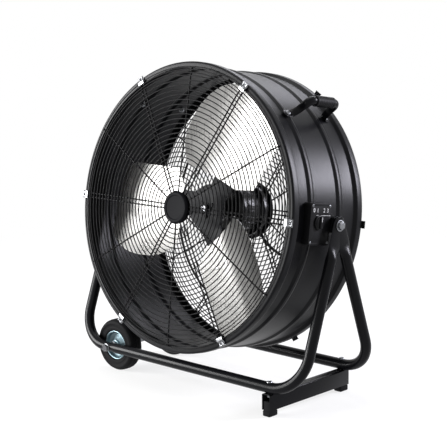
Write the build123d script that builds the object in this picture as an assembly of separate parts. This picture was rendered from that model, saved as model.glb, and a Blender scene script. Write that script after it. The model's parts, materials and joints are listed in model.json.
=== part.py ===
from build123d import *
import math
import os

# Wheeled drum fan on a tilting tubular floor stand.
# The row frame: X to the right seen from the front, the fan blows towards -Y, Z up,
# origin on the floor in the middle of the object's bounding box.
# The drum and all it carries are drawn level, with the drum's axis on Y and its middle
# at y = 0, and are then tilted about the pivot with the front up, as the fan is parked.

# Stand
OVERALL_WIDTH = 740.0
STAND_TUBE_R = 12.5
STAND_TUBE_WALL = 1.8
BEND_R = 85.0
LEG_X = OVERALL_WIDTH / 2 - STAND_TUBE_R
BASE_HALF_DEPTH = 127.5
WHEEL_R = 64.0
PIVOT_Y = 5.0
PIVOT_Z = 420.0
TAB_WIDTH = 40.0
TAB_THICK = 4.0
CRUSH_START = 76.0
CRUSH_END = 48.0

# Drum
DRUM_TILT = 8.2
DRUM_HALF_DEPTH = 124.0
RIM_R = 335.0
REAR_RIM_R = 332.0
SHELL_R = 325.0
SHEET = 1.5
FLANGE_R = 320.0
COLLAR = 20.0
STEP = 6.0
FRONT_BEAD_Y = -54.0
REAR_BEAD_Y = 46.0
BEAD_RISE = 4.0
BEAD_HALF_FOOT = 8.5
BEAD_HALF_TOP = 5.0
DRUM_PIVOT_Y = 5.0

# Guards
RING_FIRST_R = 50.0
RING_PITCH = 10.95
RING_COUNT = 24
OUTER_RING_PITCH = 6.8
OUTER_RING_COUNT = 3
RING_WIRE = 2.4
SPOKE_R = 1.8
SPOKE_START_R = 30.0
SPOKE_PAIRS = 6
PAIR_GAP = 10.0
GUARD_DISH = 8.0
GUARD_KNEE_R = 296.0
GUARD_FOOT_R = 324.5
SPOKE_END_R = 331.0
KNEE_DROP = 4.0
WELD_GAP = 0.1
BADGE_R = 38.0
MOUNT_RING_R = 255.0

# Fan wheel, seen from the front: u runs out along an arm, v anticlockwise
BLADE_COUNT = 3
FIRST_ARM = 60.0
BLADE_TIP_R = 302.0
BLADE_SHEET = 2.0
BLADE_PITCH_INNER = 9.0
BLADE_PITCH_OUTER = 20.0
CREASE_V = 27.0
CREASE_Y = -43.0
ARM_SHEET = 3.0
ARM_LOW_V = -36.0
ARM_HIGH_V = 22.0
ARM_TWIST_U = (56.0, 84.0)
ARM_END_U = 156.0
HUB_INRADIUS = 52.0
RIVET_R = 2.5
RIVET_PLACES = ((140.0, 12.0), (140.0, -26.0), (98.0, 12.0), (98.0, -26.0))

# Motor
SHAFT_R = 6.0
RUNNING = 0.05
MOTOR_FRONT_Y = 18.0
MOTOR_REAR_Y = 116.0
MOTOR_R = 57.0
MOTOR_REAR_R = 64.0
STATOR_HALF = 21.0
STATOR_Y = 66.0
STATOR_BORE_R = 31.5
ROTOR_R = 31.0
BEARING_R = 16.0
BEARING_WIDTH = 10.0
PLATE_R = 70.0
PLATE_THICK = 3.0
MOUNT_BOLT_PCR = 58.0

# Control box on the drum's right side
BOX_Y = (-76.0, -6.0)
BOX_HALF_Z = 46.0
BOX_FACE_X = 343.0
BOX_WALL = 2.5
KNOB_Y = -46.0
KNOB_Z = 4.0
KNOB_R = 16.0
KNOB_TOP_X = 352.3
SPINDLE_R = 3.0
LEAD_R = 3.5
LEAD_Y = -15.0
LEAD_Z = -24.0

# Pivot bolts
PIVOT_BOLT_R = 6.0
PIVOT_SPACER_R = 19.0
PIVOT_GAP = 0.3

# Handles
HANDLE_ANGLES = {"right_handle": 45.0, "left_handle": 135.0}
HANDLE_TUBE_R = 10.0
HANDLE_GRIP_R = 377.0
HANDLE_FRONT_Y = -54.0
HANDLE_REAR_Y = 80.0
PAD_THICK = 3.5
PAD_WIDTH = 26.0
PAD_HALF = 14.0
HANDLE_BOLT_R = 3.0

# Wheels and foot
AXLE_X = -257.0
AXLE_R = 6.0
WHEEL_Y = 93.0
TYRE_WIDTH = 38.0
WHEEL_RIM_R = 35.5
BUSH_R = 8.5
FOOT_X = 268.0
FOOT_WIDTH = 24.0
FOOT_HALF_LENGTH = 140.0
FOOT_Z = (14.5, WHEEL_R - STAND_TUBE_R)
FOOT_SHEET = 2.0
FOOT_BOLT_R = 4.0

AROUND_Y = Axis.Y


def y_cylinder(radius, y_low, y_high, x=0.0, z=0.0):
    """A round bar along Y."""
    bar = Cylinder(radius, y_high - y_low, align=(Align.CENTER, Align.CENTER, Align.MIN))
    return Pos(x, y_low, z) * Rot(X=-90) * bar


def x_cylinder(radius, x_low, x_high, y=0.0, z=0.0):
    """A round bar along X."""
    bar = Cylinder(radius, x_high - x_low, align=(Align.CENTER, Align.CENTER, Align.MIN))
    return Pos(x_low, y, z) * Rot(Y=90) * bar


def z_cylinder(radius, z_low, z_high, x=0.0, y=0.0):
    """A round bar along Z."""
    bar = Cylinder(radius, z_high - z_low, align=(Align.CENTER, Align.CENTER, Align.MIN))
    return Pos(x, y, z_low) * bar


def box_between(low, high):
    """A box from its lowest to its highest corner."""
    size = [b - a for a, b in zip(low, high)]
    middle = [(a + b) / 2 for a, b in zip(low, high)]
    return Pos(*middle) * Box(*size)


def hexagon_x(across, x_low, x_high):
    """A hexagonal head or nut with its axis on X."""
    outline = RegularPolygon(across / math.sqrt(3), 6)
    return Pos(x_low, 0, 0) * Rot(Y=90) * extrude(outline, x_high - x_low)


def turned(points):
    """A solid of revolution about Y from (radius, y) points."""
    outline = make_face(Polyline(*[(r, y) for r, y in points], close=True))
    return revolve(outline, AROUND_Y)


def around_axis(shape, angle):
    """Turn a drum part drawn at the right-hand side to an angle seen from the front."""
    return Rot(Y=-angle) * shape


def mirrored_sides(shape):
    """A part on the right side and its mirror image on the left."""
    return [shape, mirror(shape, Plane.YZ)]


def in_place(shape):
    """Put a drum part, drawn level about the drum's middle, at its parked tilt."""
    return Pos(0, PIVOT_Y, PIVOT_Z) * Rot(X=-DRUM_TILT) * Pos(0, -DRUM_PIVOT_Y, 0) * shape


def drum_outline():
    """The drum's outer line from front flange to rear flange, as (radius, y)."""
    front = -DRUM_HALF_DEPTH
    rear = DRUM_HALF_DEPTH
    points = [(FLANGE_R, front), (RIM_R, front), (RIM_R, front + COLLAR)]
    points.append((SHELL_R, front + COLLAR + STEP))
    for bead in (FRONT_BEAD_Y, REAR_BEAD_Y):
        points.append((SHELL_R, bead - BEAD_HALF_FOOT))
        points.append((SHELL_R + BEAD_RISE, bead - BEAD_HALF_TOP))
        points.append((SHELL_R + BEAD_RISE, bead + BEAD_HALF_TOP))
        points.append((SHELL_R, bead + BEAD_HALF_FOOT))
    points.append((SHELL_R, rear - COLLAR - STEP))
    points += [(REAR_RIM_R, rear - COLLAR), (REAR_RIM_R, rear), (FLANGE_R, rear)]
    return points


def drum_section():
    """Half of the drum's lengthwise section, filled to the axis."""
    return make_face(Polyline((0, -DRUM_HALF_DEPTH), *drum_outline(), (0, DRUM_HALF_DEPTH), close=True))


def drum_envelope():
    """The drum as if it were solid, to seat the parts that stand on it."""
    return revolve(drum_section(), AROUND_Y)


def handle_bolt_cutters(radius, low, high):
    """Bars through both feet of both handles."""
    bars = []
    for angle in HANDLE_ANGLES.values():
        for y in (HANDLE_FRONT_Y, HANDLE_REAR_Y):
            bars.append(around_axis(x_cylinder(radius, low, high, y), angle))
    return bars


def drum_shell():
    """The rolled sheet drum with its stepped collars, beads and turned-in flanges."""
    section = drum_section()
    wall = section - offset(section, amount=-SHEET, kind=Kind.INTERSECTION)
    wall -= Pos(FLANGE_R / 2, 0) * Rectangle(FLANGE_R, 3 * DRUM_HALF_DEPTH)
    shell = revolve(wall, AROUND_Y)
    shell -= x_cylinder(PIVOT_BOLT_R + 0.2, -SHELL_R - 9, SHELL_R + 9, DRUM_PIVOT_Y)
    for bar in handle_bolt_cutters(HANDLE_BOLT_R + 0.2, SHELL_R - 20, SHELL_R + 20):
        shell -= bar
    cable_hole = x_cylinder(6.0, SHELL_R - 20, SHELL_R + 5, LEAD_Y, LEAD_Z)
    return [shell - cable_hole]


def spoke_y(radius):
    """Depth in front of the rim plane of a guard spoke's centre line."""
    rest = SPOKE_R
    if radius >= GUARD_FOOT_R:
        return rest
    if radius >= GUARD_KNEE_R:
        return rest + KNEE_DROP * (GUARD_FOOT_R - radius) / (GUARD_FOOT_R - GUARD_KNEE_R)
    return rest + KNEE_DROP + GUARD_DISH * (1 - radius / GUARD_KNEE_R)


def guard_spoke(inner_r, outer_r, shift):
    """One bent wire along +X at a sideways shift, drawn for the front guard."""
    bends = [r for r in (GUARD_KNEE_R, GUARD_FOOT_R) if r < outer_r]
    stations = [inner_r] + bends + [outer_r]
    points = [(r, -DRUM_HALF_DEPTH - spoke_y(r), shift) for r in stations]
    path = Polyline(*points)
    start = Plane(origin=path @ 0, z_dir=path % 0)
    return sweep(start * Circle(SPOKE_R), path, transition=Transition.RIGHT)


def guard_spokes():
    """Six pairs of spokes that end under the clips and six single ones between them."""
    wires = []
    outer_ring = ring_radii()[-1]
    for k in range(SPOKE_PAIRS):
        angle = 360 / SPOKE_PAIRS * k
        for shift in (-PAIR_GAP / 2, PAIR_GAP / 2):
            wires.append(around_axis(guard_spoke(SPOKE_START_R, SPOKE_END_R, shift), angle))
        wires.append(around_axis(guard_spoke(SPOKE_START_R, outer_ring, 0.0), angle + 180 / SPOKE_PAIRS))
    return wires


def ring_radii():
    """Centre radii of a guard's rings: an even field and a closer outer group."""
    radii = [RING_FIRST_R + RING_PITCH * k for k in range(RING_COUNT)]
    last = radii[-1]
    return radii + [last + OUTER_RING_PITCH * (k + 1) for k in range(OUTER_RING_COUNT)]


def guard_rings():
    """The concentric wires, laid on the front of the spokes."""
    half = RING_WIRE / 2
    rings = []
    for radius in ring_radii():
        y = -DRUM_HALF_DEPTH - spoke_y(radius - half) - SPOKE_R - half - WELD_GAP
        low, high = y - half, y + half
        section = [(radius - half, low), (radius + half, low), (radius + half, high), (radius - half, high)]
        rings.append(turned(section))
    return rings


def to_rear(shapes):
    """The same part on the rear guard, mirrored front to back."""
    return [mirror(shape, Plane.XZ) for shape in shapes]


def guard_badge():
    """A round pressed cap over the inner ends of the front guard's spokes."""
    back = -DRUM_HALF_DEPTH - spoke_y(SPOKE_START_R) - SPOKE_R - WELD_GAP
    front = back - 6.0
    cap = turned([(0, front), (BADGE_R - 4, front), (BADGE_R, front + 3), (BADGE_R, back), (0, back)])
    rim = turned([(BADGE_R - 9, front - 1), (BADGE_R - 5, front - 1), (BADGE_R - 5, front), (BADGE_R - 9, front)])
    return [cap + rim]


def spoke_hub_disc():
    """The disc that the rear ends of the front guard's spokes are welded to."""
    front = -DRUM_HALF_DEPTH - spoke_y(BADGE_R) + SPOKE_R + WELD_GAP
    return [y_cylinder(BADGE_R - 2, front, front + 2.0)]


def guard_clip(rim_r):
    """A bent clip that holds a pair of spokes and the outer rings on the rim."""
    face = -DRUM_HALF_DEPTH
    top = face - 2 * SPOKE_R
    plate = box_between((GUARD_FOOT_R + 0.5, top - 1.5, -9.5), (rim_r + 1.8, top, 9.5))
    lip = box_between((rim_r + 0.3, top, -9.5), (rim_r + 1.8, face + 9, 9.5))
    clip = plate + lip
    return clip - y_cylinder(2.2, top - 5, face + 5, rim_r - 5.5)


def clip_screw(rim_r):
    """The round-headed screw through a clip into the rim."""
    x = rim_r - 5.5
    head = -DRUM_HALF_DEPTH - 2 * SPOKE_R - 1.5
    screw = turned([(0, head - 2.4), (2.5, head - 2.2), (4, head), (2, head), (2, head + 5.1), (0, head + 5.1)])
    return Pos(x, 0, 0) * screw


def ring_of(shape, count, first=0.0):
    """Copies of one part around the drum's axis."""
    return [around_axis(shape, first + 360 / count * k) for k in range(count)]


def mount_ring():
    """The heavier ring welded inside the rear guard's spokes."""
    y = DRUM_HALF_DEPTH + spoke_y(MOUNT_RING_R + RING_WIRE) - SPOKE_R - WELD_GAP
    half = RING_WIRE
    r = MOUNT_RING_R
    return turned([(r - half, y - 2 * half), (r + half, y - 2 * half), (r + half, y), (r - half, y)])


def motor_plate():
    """The round plate on the rear guard's spokes that the motor is bolted to."""
    front = MOTOR_REAR_Y
    plate = y_cylinder(PLATE_R, front, front + PLATE_THICK)
    plate -= y_cylinder(BEARING_R + 3, front - 1, front + 9)
    for hole in ring_of(y_cylinder(2.7, front - 1, front + 9, MOUNT_BOLT_PCR), 4, 45):
        plate -= hole
    return [plate]


def motor_plate_bolts():
    """Hexagon screws through the mounting plate into the rear bell's lugs."""
    outline = Rot(X=90) * extrude(RegularPolygon(5.2, 6), 4.0)
    head = Pos(MOUNT_BOLT_PCR, MOTOR_REAR_Y + PLATE_THICK + 4.0, 0) * outline
    bolt = head + y_cylinder(2.5, MOTOR_REAR_Y - 8, MOTOR_REAR_Y + PLATE_THICK + 1, MOUNT_BOLT_PCR)
    return ring_of(bolt, 4, 45)


def motor_front_bell():
    """The front end shield with its bearing seat."""
    f = MOTOR_FRONT_Y
    m = STATOR_Y - STATOR_HALF
    return [turned([
        (SHAFT_R + 2, f), (28, f), (46, f + 6), (MOTOR_R, f + 14), (MOTOR_R, m),
        (MOTOR_R - 4, m), (MOTOR_R - 4, f + 17), (44, f + 10), (24, f + 5),
        (24, f + 14), (BEARING_R, f + 14), (BEARING_R, f + 3), (SHAFT_R + 2, f + 3),
    ])]


def motor_rear_bell():
    """The rear end shield, with four lugs for the mounting plate."""
    r = MOTOR_REAR_Y
    m = STATOR_Y + STATOR_HALF
    bell = turned([
        (SHAFT_R + 2, r), (MOTOR_REAR_R - 6, r), (MOTOR_REAR_R, r - 8), (MOTOR_REAR_R, m + 8),
        (MOTOR_R, m), (MOTOR_R - 4, m), (MOTOR_R - 4, r - 7), (24, r - 5),
        (24, r - 14), (BEARING_R, r - 14), (BEARING_R, r - 3), (SHAFT_R + 2, r - 3),
    ])
    for hole in ring_of(y_cylinder(2.5, r - 8, r + 1, MOUNT_BOLT_PCR), 4, 45):
        bell -= hole
    return [bell]


def stator_core():
    """The stack of steel sheets between the bells, with cooling ribs along it."""
    low, high = STATOR_Y - STATOR_HALF, STATOR_Y + STATOR_HALF
    outline = Circle(MOTOR_R - 1.5) - Circle(STATOR_BORE_R)
    rib = Pos(MOTOR_R - 1, 0) * Rectangle(4, 3)
    outline += [Rot(Z=15 * k) * rib for k in range(24)]
    core = extrude(outline, high - low)
    return [Pos(0, high, 0) * Rot(X=90) * core]


def stator_windings():
    """The copper end turns on both sides of the stack."""
    coils = []
    for low, high in ((STATOR_Y - STATOR_HALF - 12, STATOR_Y - STATOR_HALF),
                      (STATOR_Y + STATOR_HALF, STATOR_Y + STATOR_HALF + 12)):
        coils.append(y_cylinder(50, low, high) - y_cylinder(34, low - 1, high + 1))
    return coils


def motor_bearings():
    """The two ball bearings, outer and inner ring as one piece each."""
    bore = SHAFT_R + RUNNING
    rings = []
    for low in (MOTOR_FRONT_Y + 3, MOTOR_REAR_Y - 3 - BEARING_WIDTH):
        high = low + BEARING_WIDTH
        ring = y_cylinder(BEARING_R, low, high) - y_cylinder(bore, low - 1, high + 1)
        rings.append(ring)
    return rings


def capacitor():
    """The run capacitor, strapped on the mounting plate beside the motor."""
    can = y_cylinder(15.0, MOTOR_REAR_Y - 62, MOTOR_REAR_Y - 5, 0, 0)
    terminal = box_between((-6, MOTOR_REAR_Y - 68, -6), (6, MOTOR_REAR_Y - 62, 6))
    return [around_axis(Pos(82, 0, 0) * (can + terminal), 205)]


def capacitor_bracket():
    """The sheet strip that carries the capacitor from the mounting plate."""
    foot = box_between((PLATE_R - 14, MOTOR_REAR_Y - 2, -8), (97, MOTOR_REAR_Y, 8))
    cup = y_cylinder(16.8, MOTOR_REAR_Y - 20, MOTOR_REAR_Y, 82)
    strip = foot + (cup - y_cylinder(15.0, MOTOR_REAR_Y - 21, MOTOR_REAR_Y - 5, 82))
    strip -= y_cylinder(MOTOR_REAR_R + 0.3, MOTOR_REAR_Y - 40, MOTOR_REAR_Y + 1)
    return [around_axis(strip, 205)]


def motor_shaft():
    """The steel shaft from the rear bearing to the fan hub."""
    return [y_cylinder(SHAFT_R, arm_plane_y(0) - 11, MOTOR_REAR_Y - 3.4)]


def rotor_core():
    """The squirrel-cage rotor on the shaft."""
    low, high = STATOR_Y - STATOR_HALF, STATOR_Y + STATOR_HALF
    core = y_cylinder(ROTOR_R, low, high) + y_cylinder(ROTOR_R - 5, low - 6, high + 6)
    return [core - y_cylinder(SHAFT_R, low - 9, high + 9)]


def arm_plane_y(v):
    """Depth of the front of the arms and of the blades' inner panel behind them."""
    return CREASE_Y + (CREASE_V - v) * math.tan(math.radians(BLADE_PITCH_INNER))


def fan_wheel_arm():
    """One arm along +X: flat at the hub, then twisted to the blade's pitch."""
    low_u, high_u = ARM_TWIST_U
    flat_y = arm_plane_y(0) + ARM_SHEET / 2
    width = ARM_HIGH_V - ARM_LOW_V
    middle = (ARM_HIGH_V + ARM_LOW_V) / 2
    flat = Plane(origin=(low_u, flat_y, middle), x_dir=(0, 0, 1), z_dir=(1, 0, 0))
    pitched_y = arm_plane_y(middle) + ARM_SHEET / 2 / math.cos(math.radians(BLADE_PITCH_INNER))
    slope = math.radians(BLADE_PITCH_INNER)
    pitched = Plane(
        origin=(high_u, pitched_y, middle),
        x_dir=(0, -math.sin(slope), math.cos(slope)),
        z_dir=(1, 0, 0),
    )
    pitched_width = width / math.cos(slope)
    neck = loft([flat * Rectangle(width, ARM_SHEET), pitched * Rectangle(pitched_width, ARM_SHEET)], ruled=True)
    reach = extrude(pitched * Rectangle(pitched_width, ARM_SHEET), ARM_END_U - high_u)
    root = extrude(flat * Rectangle(width, ARM_SHEET), -low_u / 2)
    return root + neck + reach


def rivet_bars(radius, low, high):
    """Bars through one blade and its arm, square to the pitched sheet."""
    bars = []
    for u, v in RIVET_PLACES:
        seat = Pos(u, arm_plane_y(v), v) * Rot(X=BLADE_PITCH_INNER)
        bars.append(seat * y_cylinder(radius, low, high))
    return bars


def arm_angles():
    return [FIRST_ARM + 360 / BLADE_COUNT * k for k in range(BLADE_COUNT)]


def fan_hub():
    """The three-armed spider with its boss on the shaft."""
    front = arm_plane_y(0)
    side = 2 * math.sqrt(3) * HUB_INRADIUS
    triangle = RegularPolygon(side / math.sqrt(3), 3)
    outline = Rot(Z=FIRST_ARM) * triangle & Circle(ARM_TWIST_U[0])
    plate = Pos(0, front + ARM_SHEET, 0) * Rot(X=90) * extrude(outline, ARM_SHEET)
    hub = plate + y_cylinder(22, front + ARM_SHEET, front + ARM_SHEET + 26)
    arm = fan_wheel_arm()
    for bar in rivet_bars(RIVET_R, -1, ARM_SHEET + 2):
        arm -= bar
    for angle in arm_angles():
        hub += around_axis(arm, angle)
    return [hub - y_cylinder(SHAFT_R, front - 5, front + 60)]


def blade_outline():
    """One blade's edge in its own (u, v) plane: wide root, round trailing corner."""
    tip_low = -math.degrees(math.asin(72 / BLADE_TIP_R))
    tip_high = 15.0
    start = (BLADE_TIP_R * math.cos(math.radians(tip_low)), BLADE_TIP_R * math.sin(math.radians(tip_low)))
    end = (BLADE_TIP_R * math.cos(math.radians(tip_high)), BLADE_TIP_R * math.sin(math.radians(tip_high)))
    tip = ThreePointArc(start, (BLADE_TIP_R, 0), end)
    trailing = Spline(end, (248, 115), (190, 129), (130, 127), (62, 94), tangents=[(-0.45, 0.9), (-0.8, -0.6)])
    root = Line((62, 94), (78, 14))
    inner = Line((78, 14), (84, -44))
    leading = Line((84, -44), (112, -86))
    edge = Line((112, -86), (272, -88))
    corner = Line((272, -88), start)
    return make_face([tip, trailing, root, inner, leading, edge, corner])


def blade_sheet():
    """The folded strip that a blade is cut from: two shallow curves and a crease."""
    inner = math.radians(BLADE_PITCH_INNER)
    outer = math.radians(BLADE_PITCH_OUTER)
    low_v, high_v = -110.0, 150.0
    low = (low_v, CREASE_Y + (CREASE_V - low_v) * math.tan(inner))
    fold = (CREASE_V, CREASE_Y)
    high = (high_v, CREASE_Y - (high_v - CREASE_V) * math.tan(outer))
    bulge = 3.5
    middle_v = (fold[0] + high[0]) / 2 + bulge * math.sin(outer)
    middle = (middle_v, (fold[1] + high[1]) / 2 + bulge * math.cos(outer))
    front = [Line(low, fold), ThreePointArc(fold, middle, high)]
    back = [edge.moved(Location((0, -BLADE_SHEET, 0))) for edge in front]
    ends = [Line(low, (low[0], low[1] - BLADE_SHEET)), Line(high, (high[0], high[1] - BLADE_SHEET))]
    section = make_face(front + back + ends)
    strip = extrude(Plane(origin=(0, 0, 0), x_dir=(0, 0, 1), z_dir=(-1, 0, 0)) * section, -400)
    return strip


def fan_blade():
    """One blade along +X, cut from the folded strip."""
    outline = Plane(origin=(0, 40, 0), x_dir=(1, 0, 0), z_dir=(0, -1, 0)) * blade_outline()
    prism = extrude(outline, 190)
    blade = blade_sheet() & prism
    for bar in rivet_bars(RIVET_R, -BLADE_SHEET - 5, 5):
        blade -= bar
    return blade


def fan_blades():
    blade = fan_blade()
    return [around_axis(blade, angle) for angle in arm_angles()]


def blade_rivets():
    """Twelve rivets with a round head in front and behind."""
    rivets = []
    front = -BLADE_SHEET / math.cos(math.radians(BLADE_PITCH_INNER))
    for shank, head, tail in zip(
        rivet_bars(RIVET_R, front, ARM_SHEET),
        rivet_bars(RIVET_R * 2, front - 1.6, front),
        rivet_bars(RIVET_R * 1.7, ARM_SHEET, ARM_SHEET + 1.4),
    ):
        rivets.append(shank + head + tail)
    return [around_axis(rivet, angle) for angle in arm_angles() for rivet in rivets]


def hub_fasteners():
    """The shaft nut with its washer and the three screws into the boss."""
    front = arm_plane_y(0)
    washer = y_cylinder(13, front - 2, front) - y_cylinder(SHAFT_R, front - 3, front + 1)
    nut = Pos(0, front - 2, 0) * Rot(X=90) * extrude(RegularPolygon(11, 6), 6)
    nut -= y_cylinder(SHAFT_R, front - 12, front)
    screw = Pos(19, front, 0) * Rot(X=90) * extrude(RegularPolygon(5, 6), 3.5)
    return [washer + nut] + ring_of(screw, 3, 30)


def motor_lead():
    """The lead from the motor's rear bell to the control box's gland, clear of the fan."""
    start = (MOTOR_R * 0.8, STATOR_Y + 34, -46)
    points = [start, (88, STATOR_Y + 34, -78), (170, 88, -104), (252, 66, -100),
              (286, LEAD_Y, LEAD_Z), (SHELL_R + 4, LEAD_Y, LEAD_Z)]
    path = FilletPolyline(*points, radius=18)
    return [sweep(Plane(origin=path @ 0, z_dir=path % 0) * Circle(LEAD_R), path)]


def cable_gland():
    """The grommet where the lead passes the drum's wall into the box."""
    seat = math.sqrt((SHELL_R - SHEET) ** 2 - (abs(LEAD_Z) + 10) ** 2)
    body = x_cylinder(9.5, seat - 8, seat, LEAD_Y, LEAD_Z)
    return [body - x_cylinder(LEAD_R + 0.1, seat - 60, seat + 20, LEAD_Y, LEAD_Z)]


def switch_box():
    """The moulded box that stands on the drum's right side in front of the pivot."""
    low, high = BOX_Y
    body = box_between((300, low, -BOX_HALF_Z), (BOX_FACE_X - 2, high, BOX_HALF_Z))
    body = fillet(body.edges().filter_by(Axis.X), 6)
    hollow = box_between(
        (290, low + BOX_WALL, -BOX_HALF_Z + BOX_WALL),
        (BOX_FACE_X + 2, high - BOX_WALL, BOX_HALF_Z - BOX_WALL),
    )
    return [body - hollow - drum_envelope()]


def switch_plate():
    """The cover with the hole for the knob's spindle."""
    low, high = BOX_Y
    plate = box_between((BOX_FACE_X - 2, low, -BOX_HALF_Z), (BOX_FACE_X, high, BOX_HALF_Z))
    plate = fillet(plate.edges().filter_by(Axis.X), 6)
    plate -= x_cylinder(SPINDLE_R + 1.5, 330, 350, KNOB_Y, KNOB_Z)
    for y, z in plate_screw_places():
        plate -= x_cylinder(1.6, 330, 350, y, z)
    return [plate]


def plate_screw_places():
    low, high = BOX_Y
    return [(y, z) for y in (low + 6, high - 6) for z in (-BOX_HALF_Z + 6, BOX_HALF_Z - 6)]


def plate_screws():
    """Four small screws that hold the cover on the box."""
    screws = []
    for y, z in plate_screw_places():
        screw = x_cylinder(3.0, BOX_FACE_X, BOX_FACE_X + 1.5, y, z)
        screws.append(screw + x_cylinder(1.6, BOX_FACE_X - 2, BOX_FACE_X, y, z))
    return screws


def rotary_switch():
    """The switch body behind the cover, with a bore for the knob's spindle."""
    body = box_between((BOX_FACE_X - 13, KNOB_Y - 13, KNOB_Z - 13), (BOX_FACE_X - 2, KNOB_Y + 13, KNOB_Z + 13))
    return [body - x_cylinder(SPINDLE_R + RUNNING, 320, 350, KNOB_Y, KNOB_Z)]


def speed_knob():
    """The rotary knob: skirt, finger bar and spindle."""
    base = BOX_FACE_X + 0.4
    knob = x_cylinder(KNOB_R, base, base + 3.5, KNOB_Y, KNOB_Z)
    core = x_cylinder(KNOB_R - 3, base + 3.5, base + 5.5, KNOB_Y, KNOB_Z)
    reach = KNOB_R - 2.5
    bar = box_between((base + 3.5, KNOB_Y - 4, KNOB_Z - reach), (KNOB_TOP_X, KNOB_Y + 4, KNOB_Z + reach))
    spindle = x_cylinder(SPINDLE_R, BOX_FACE_X - 12, base, KNOB_Y, KNOB_Z)
    return [knob + core + bar + spindle]


def pivot_spacers():
    """The pressed cups between the drum's sides and the stand's tabs."""
    outer_x = LEG_X - TAB_THICK - PIVOT_GAP
    cup = x_cylinder(PIVOT_SPACER_R, SHELL_R - 9, outer_x, DRUM_PIVOT_Y)
    flange = x_cylinder(PIVOT_SPACER_R + 8, SHELL_R - 9, SHELL_R + 2.5, DRUM_PIVOT_Y)
    spacer = (cup + flange) - drum_envelope()
    spacer -= box_between((300, BOX_Y[0] - 9, -80), (BOX_FACE_X + 9, BOX_Y[1] + 0.3, 80))
    spacer -= x_cylinder(PIVOT_BOLT_R + 0.2, 300, 380, DRUM_PIVOT_Y)
    return mirrored_sides(spacer)


def pivot_bolts():
    """Bolts with their heads inside the drum, through spacer and both tabs."""
    head_high = SHELL_R - SHEET - 3.2
    shank = x_cylinder(PIVOT_BOLT_R, head_high, LEG_X + TAB_THICK + PIVOT_GAP + 5, DRUM_PIVOT_Y)
    head = Pos(0, DRUM_PIVOT_Y, 0) * hexagon_x(19, head_high - 7, head_high)
    return mirrored_sides(shank + head)


def pivot_washers():
    """Plain washers, inside under the heads and outside under the nuts."""
    hole = x_cylinder(PIVOT_BOLT_R, 300, 380, DRUM_PIVOT_Y)
    seat = SHELL_R - SHEET - 3.2
    inner = x_cylinder(12, seat, SHELL_R, DRUM_PIVOT_Y) & y_cylinder(SHELL_R - SHEET, -200, 200)
    outer_x = LEG_X + TAB_THICK + PIVOT_GAP
    outer = x_cylinder(13, outer_x, outer_x + 1.6, DRUM_PIVOT_Y)
    return mirrored_sides(inner - hole) + mirrored_sides(outer - hole)


def pivot_nuts():
    """The locking nuts on the outside of the tabs."""
    low = LEG_X + TAB_THICK + PIVOT_GAP + 1.6
    nut = Pos(0, DRUM_PIVOT_Y, 0) * hexagon_x(19, low, low + 6)
    return mirrored_sides(nut - x_cylinder(PIVOT_BOLT_R, 300, 380, DRUM_PIVOT_Y))


def handle(angle):
    """A carrying handle of tube, crushed flat at its two bolted feet."""
    front_seat = SHELL_R + BEAD_RISE
    rear_seat = SHELL_R
    front_top = (HANDLE_FRONT_Y + PAD_HALF + 9, front_seat + 14)
    rear_top = (HANDLE_REAR_Y - PAD_HALF + 4, rear_seat + 18)
    corners = [front_top, (HANDLE_FRONT_Y + 36, HANDLE_GRIP_R), (HANDLE_REAR_Y - 4, HANDLE_GRIP_R), rear_top]
    points = [(rho, y, 0) for y, rho in corners]
    path = FilletPolyline(*points, radius=13)
    ring = Circle(HANDLE_TUBE_R) - Circle(HANDLE_TUBE_R - 1.5)
    tube = sweep(Plane(origin=path @ 0, z_dir=path % 0, x_dir=(0, 0, 1)) * ring, path)
    body = tube
    for end, direction, seat, y, side in (
        (path @ 0, path % 0, front_seat, HANDLE_FRONT_Y, 1),
        (path @ 1, -(path % 1), rear_seat, HANDLE_REAR_Y, -1),
    ):
        neck_y = y + side * (PAD_HALF - 3)
        flat = Plane(origin=(seat + PAD_THICK / 2, neck_y, 0), x_dir=(0, 0, 1), z_dir=(0, side, 0))
        rounded = Plane(origin=end, x_dir=(0, 0, 1), z_dir=direction)
        body += loft([flat * Ellipse(PAD_WIDTH / 2, PAD_THICK / 2), rounded * Circle(HANDLE_TUBE_R)])
        pad = box_between((seat, y - 3, -PAD_WIDTH / 2), (seat + PAD_THICK, y + 12, PAD_WIDTH / 2))
        if side < 0:
            pad = box_between((seat, y - 12, -PAD_WIDTH / 2), (seat + PAD_THICK, y + 3, PAD_WIDTH / 2))
        pad += x_cylinder(PAD_WIDTH / 2, seat, seat + PAD_THICK, y - side * 3)
        body += pad
        body -= x_cylinder(HANDLE_BOLT_R + 0.1, seat - 5, seat + 30, y)
    body -= drum_envelope()
    return [around_axis(body, angle)]


def handle_bolts():
    """Domed bolts through the handle feet, with nuts inside the drum."""
    bolts = []
    for angle in HANDLE_ANGLES.values():
        for y, seat in ((HANDLE_FRONT_Y, SHELL_R + BEAD_RISE), (HANDLE_REAR_Y, SHELL_R)):
            top = seat + PAD_THICK
            head = x_cylinder(7, top, top + 2, y) + x_cylinder(4.5, top + 2, top + 4, y)
            inner = seat - SHEET
            nut = Pos(0, y, 0) * hexagon_x(10, inner - 6.2, inner - 0.8)
            bolt = head + x_cylinder(HANDLE_BOLT_R, inner - 8, top, y) + nut
            bolts.append(around_axis(bolt, angle))
    return bolts


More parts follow.
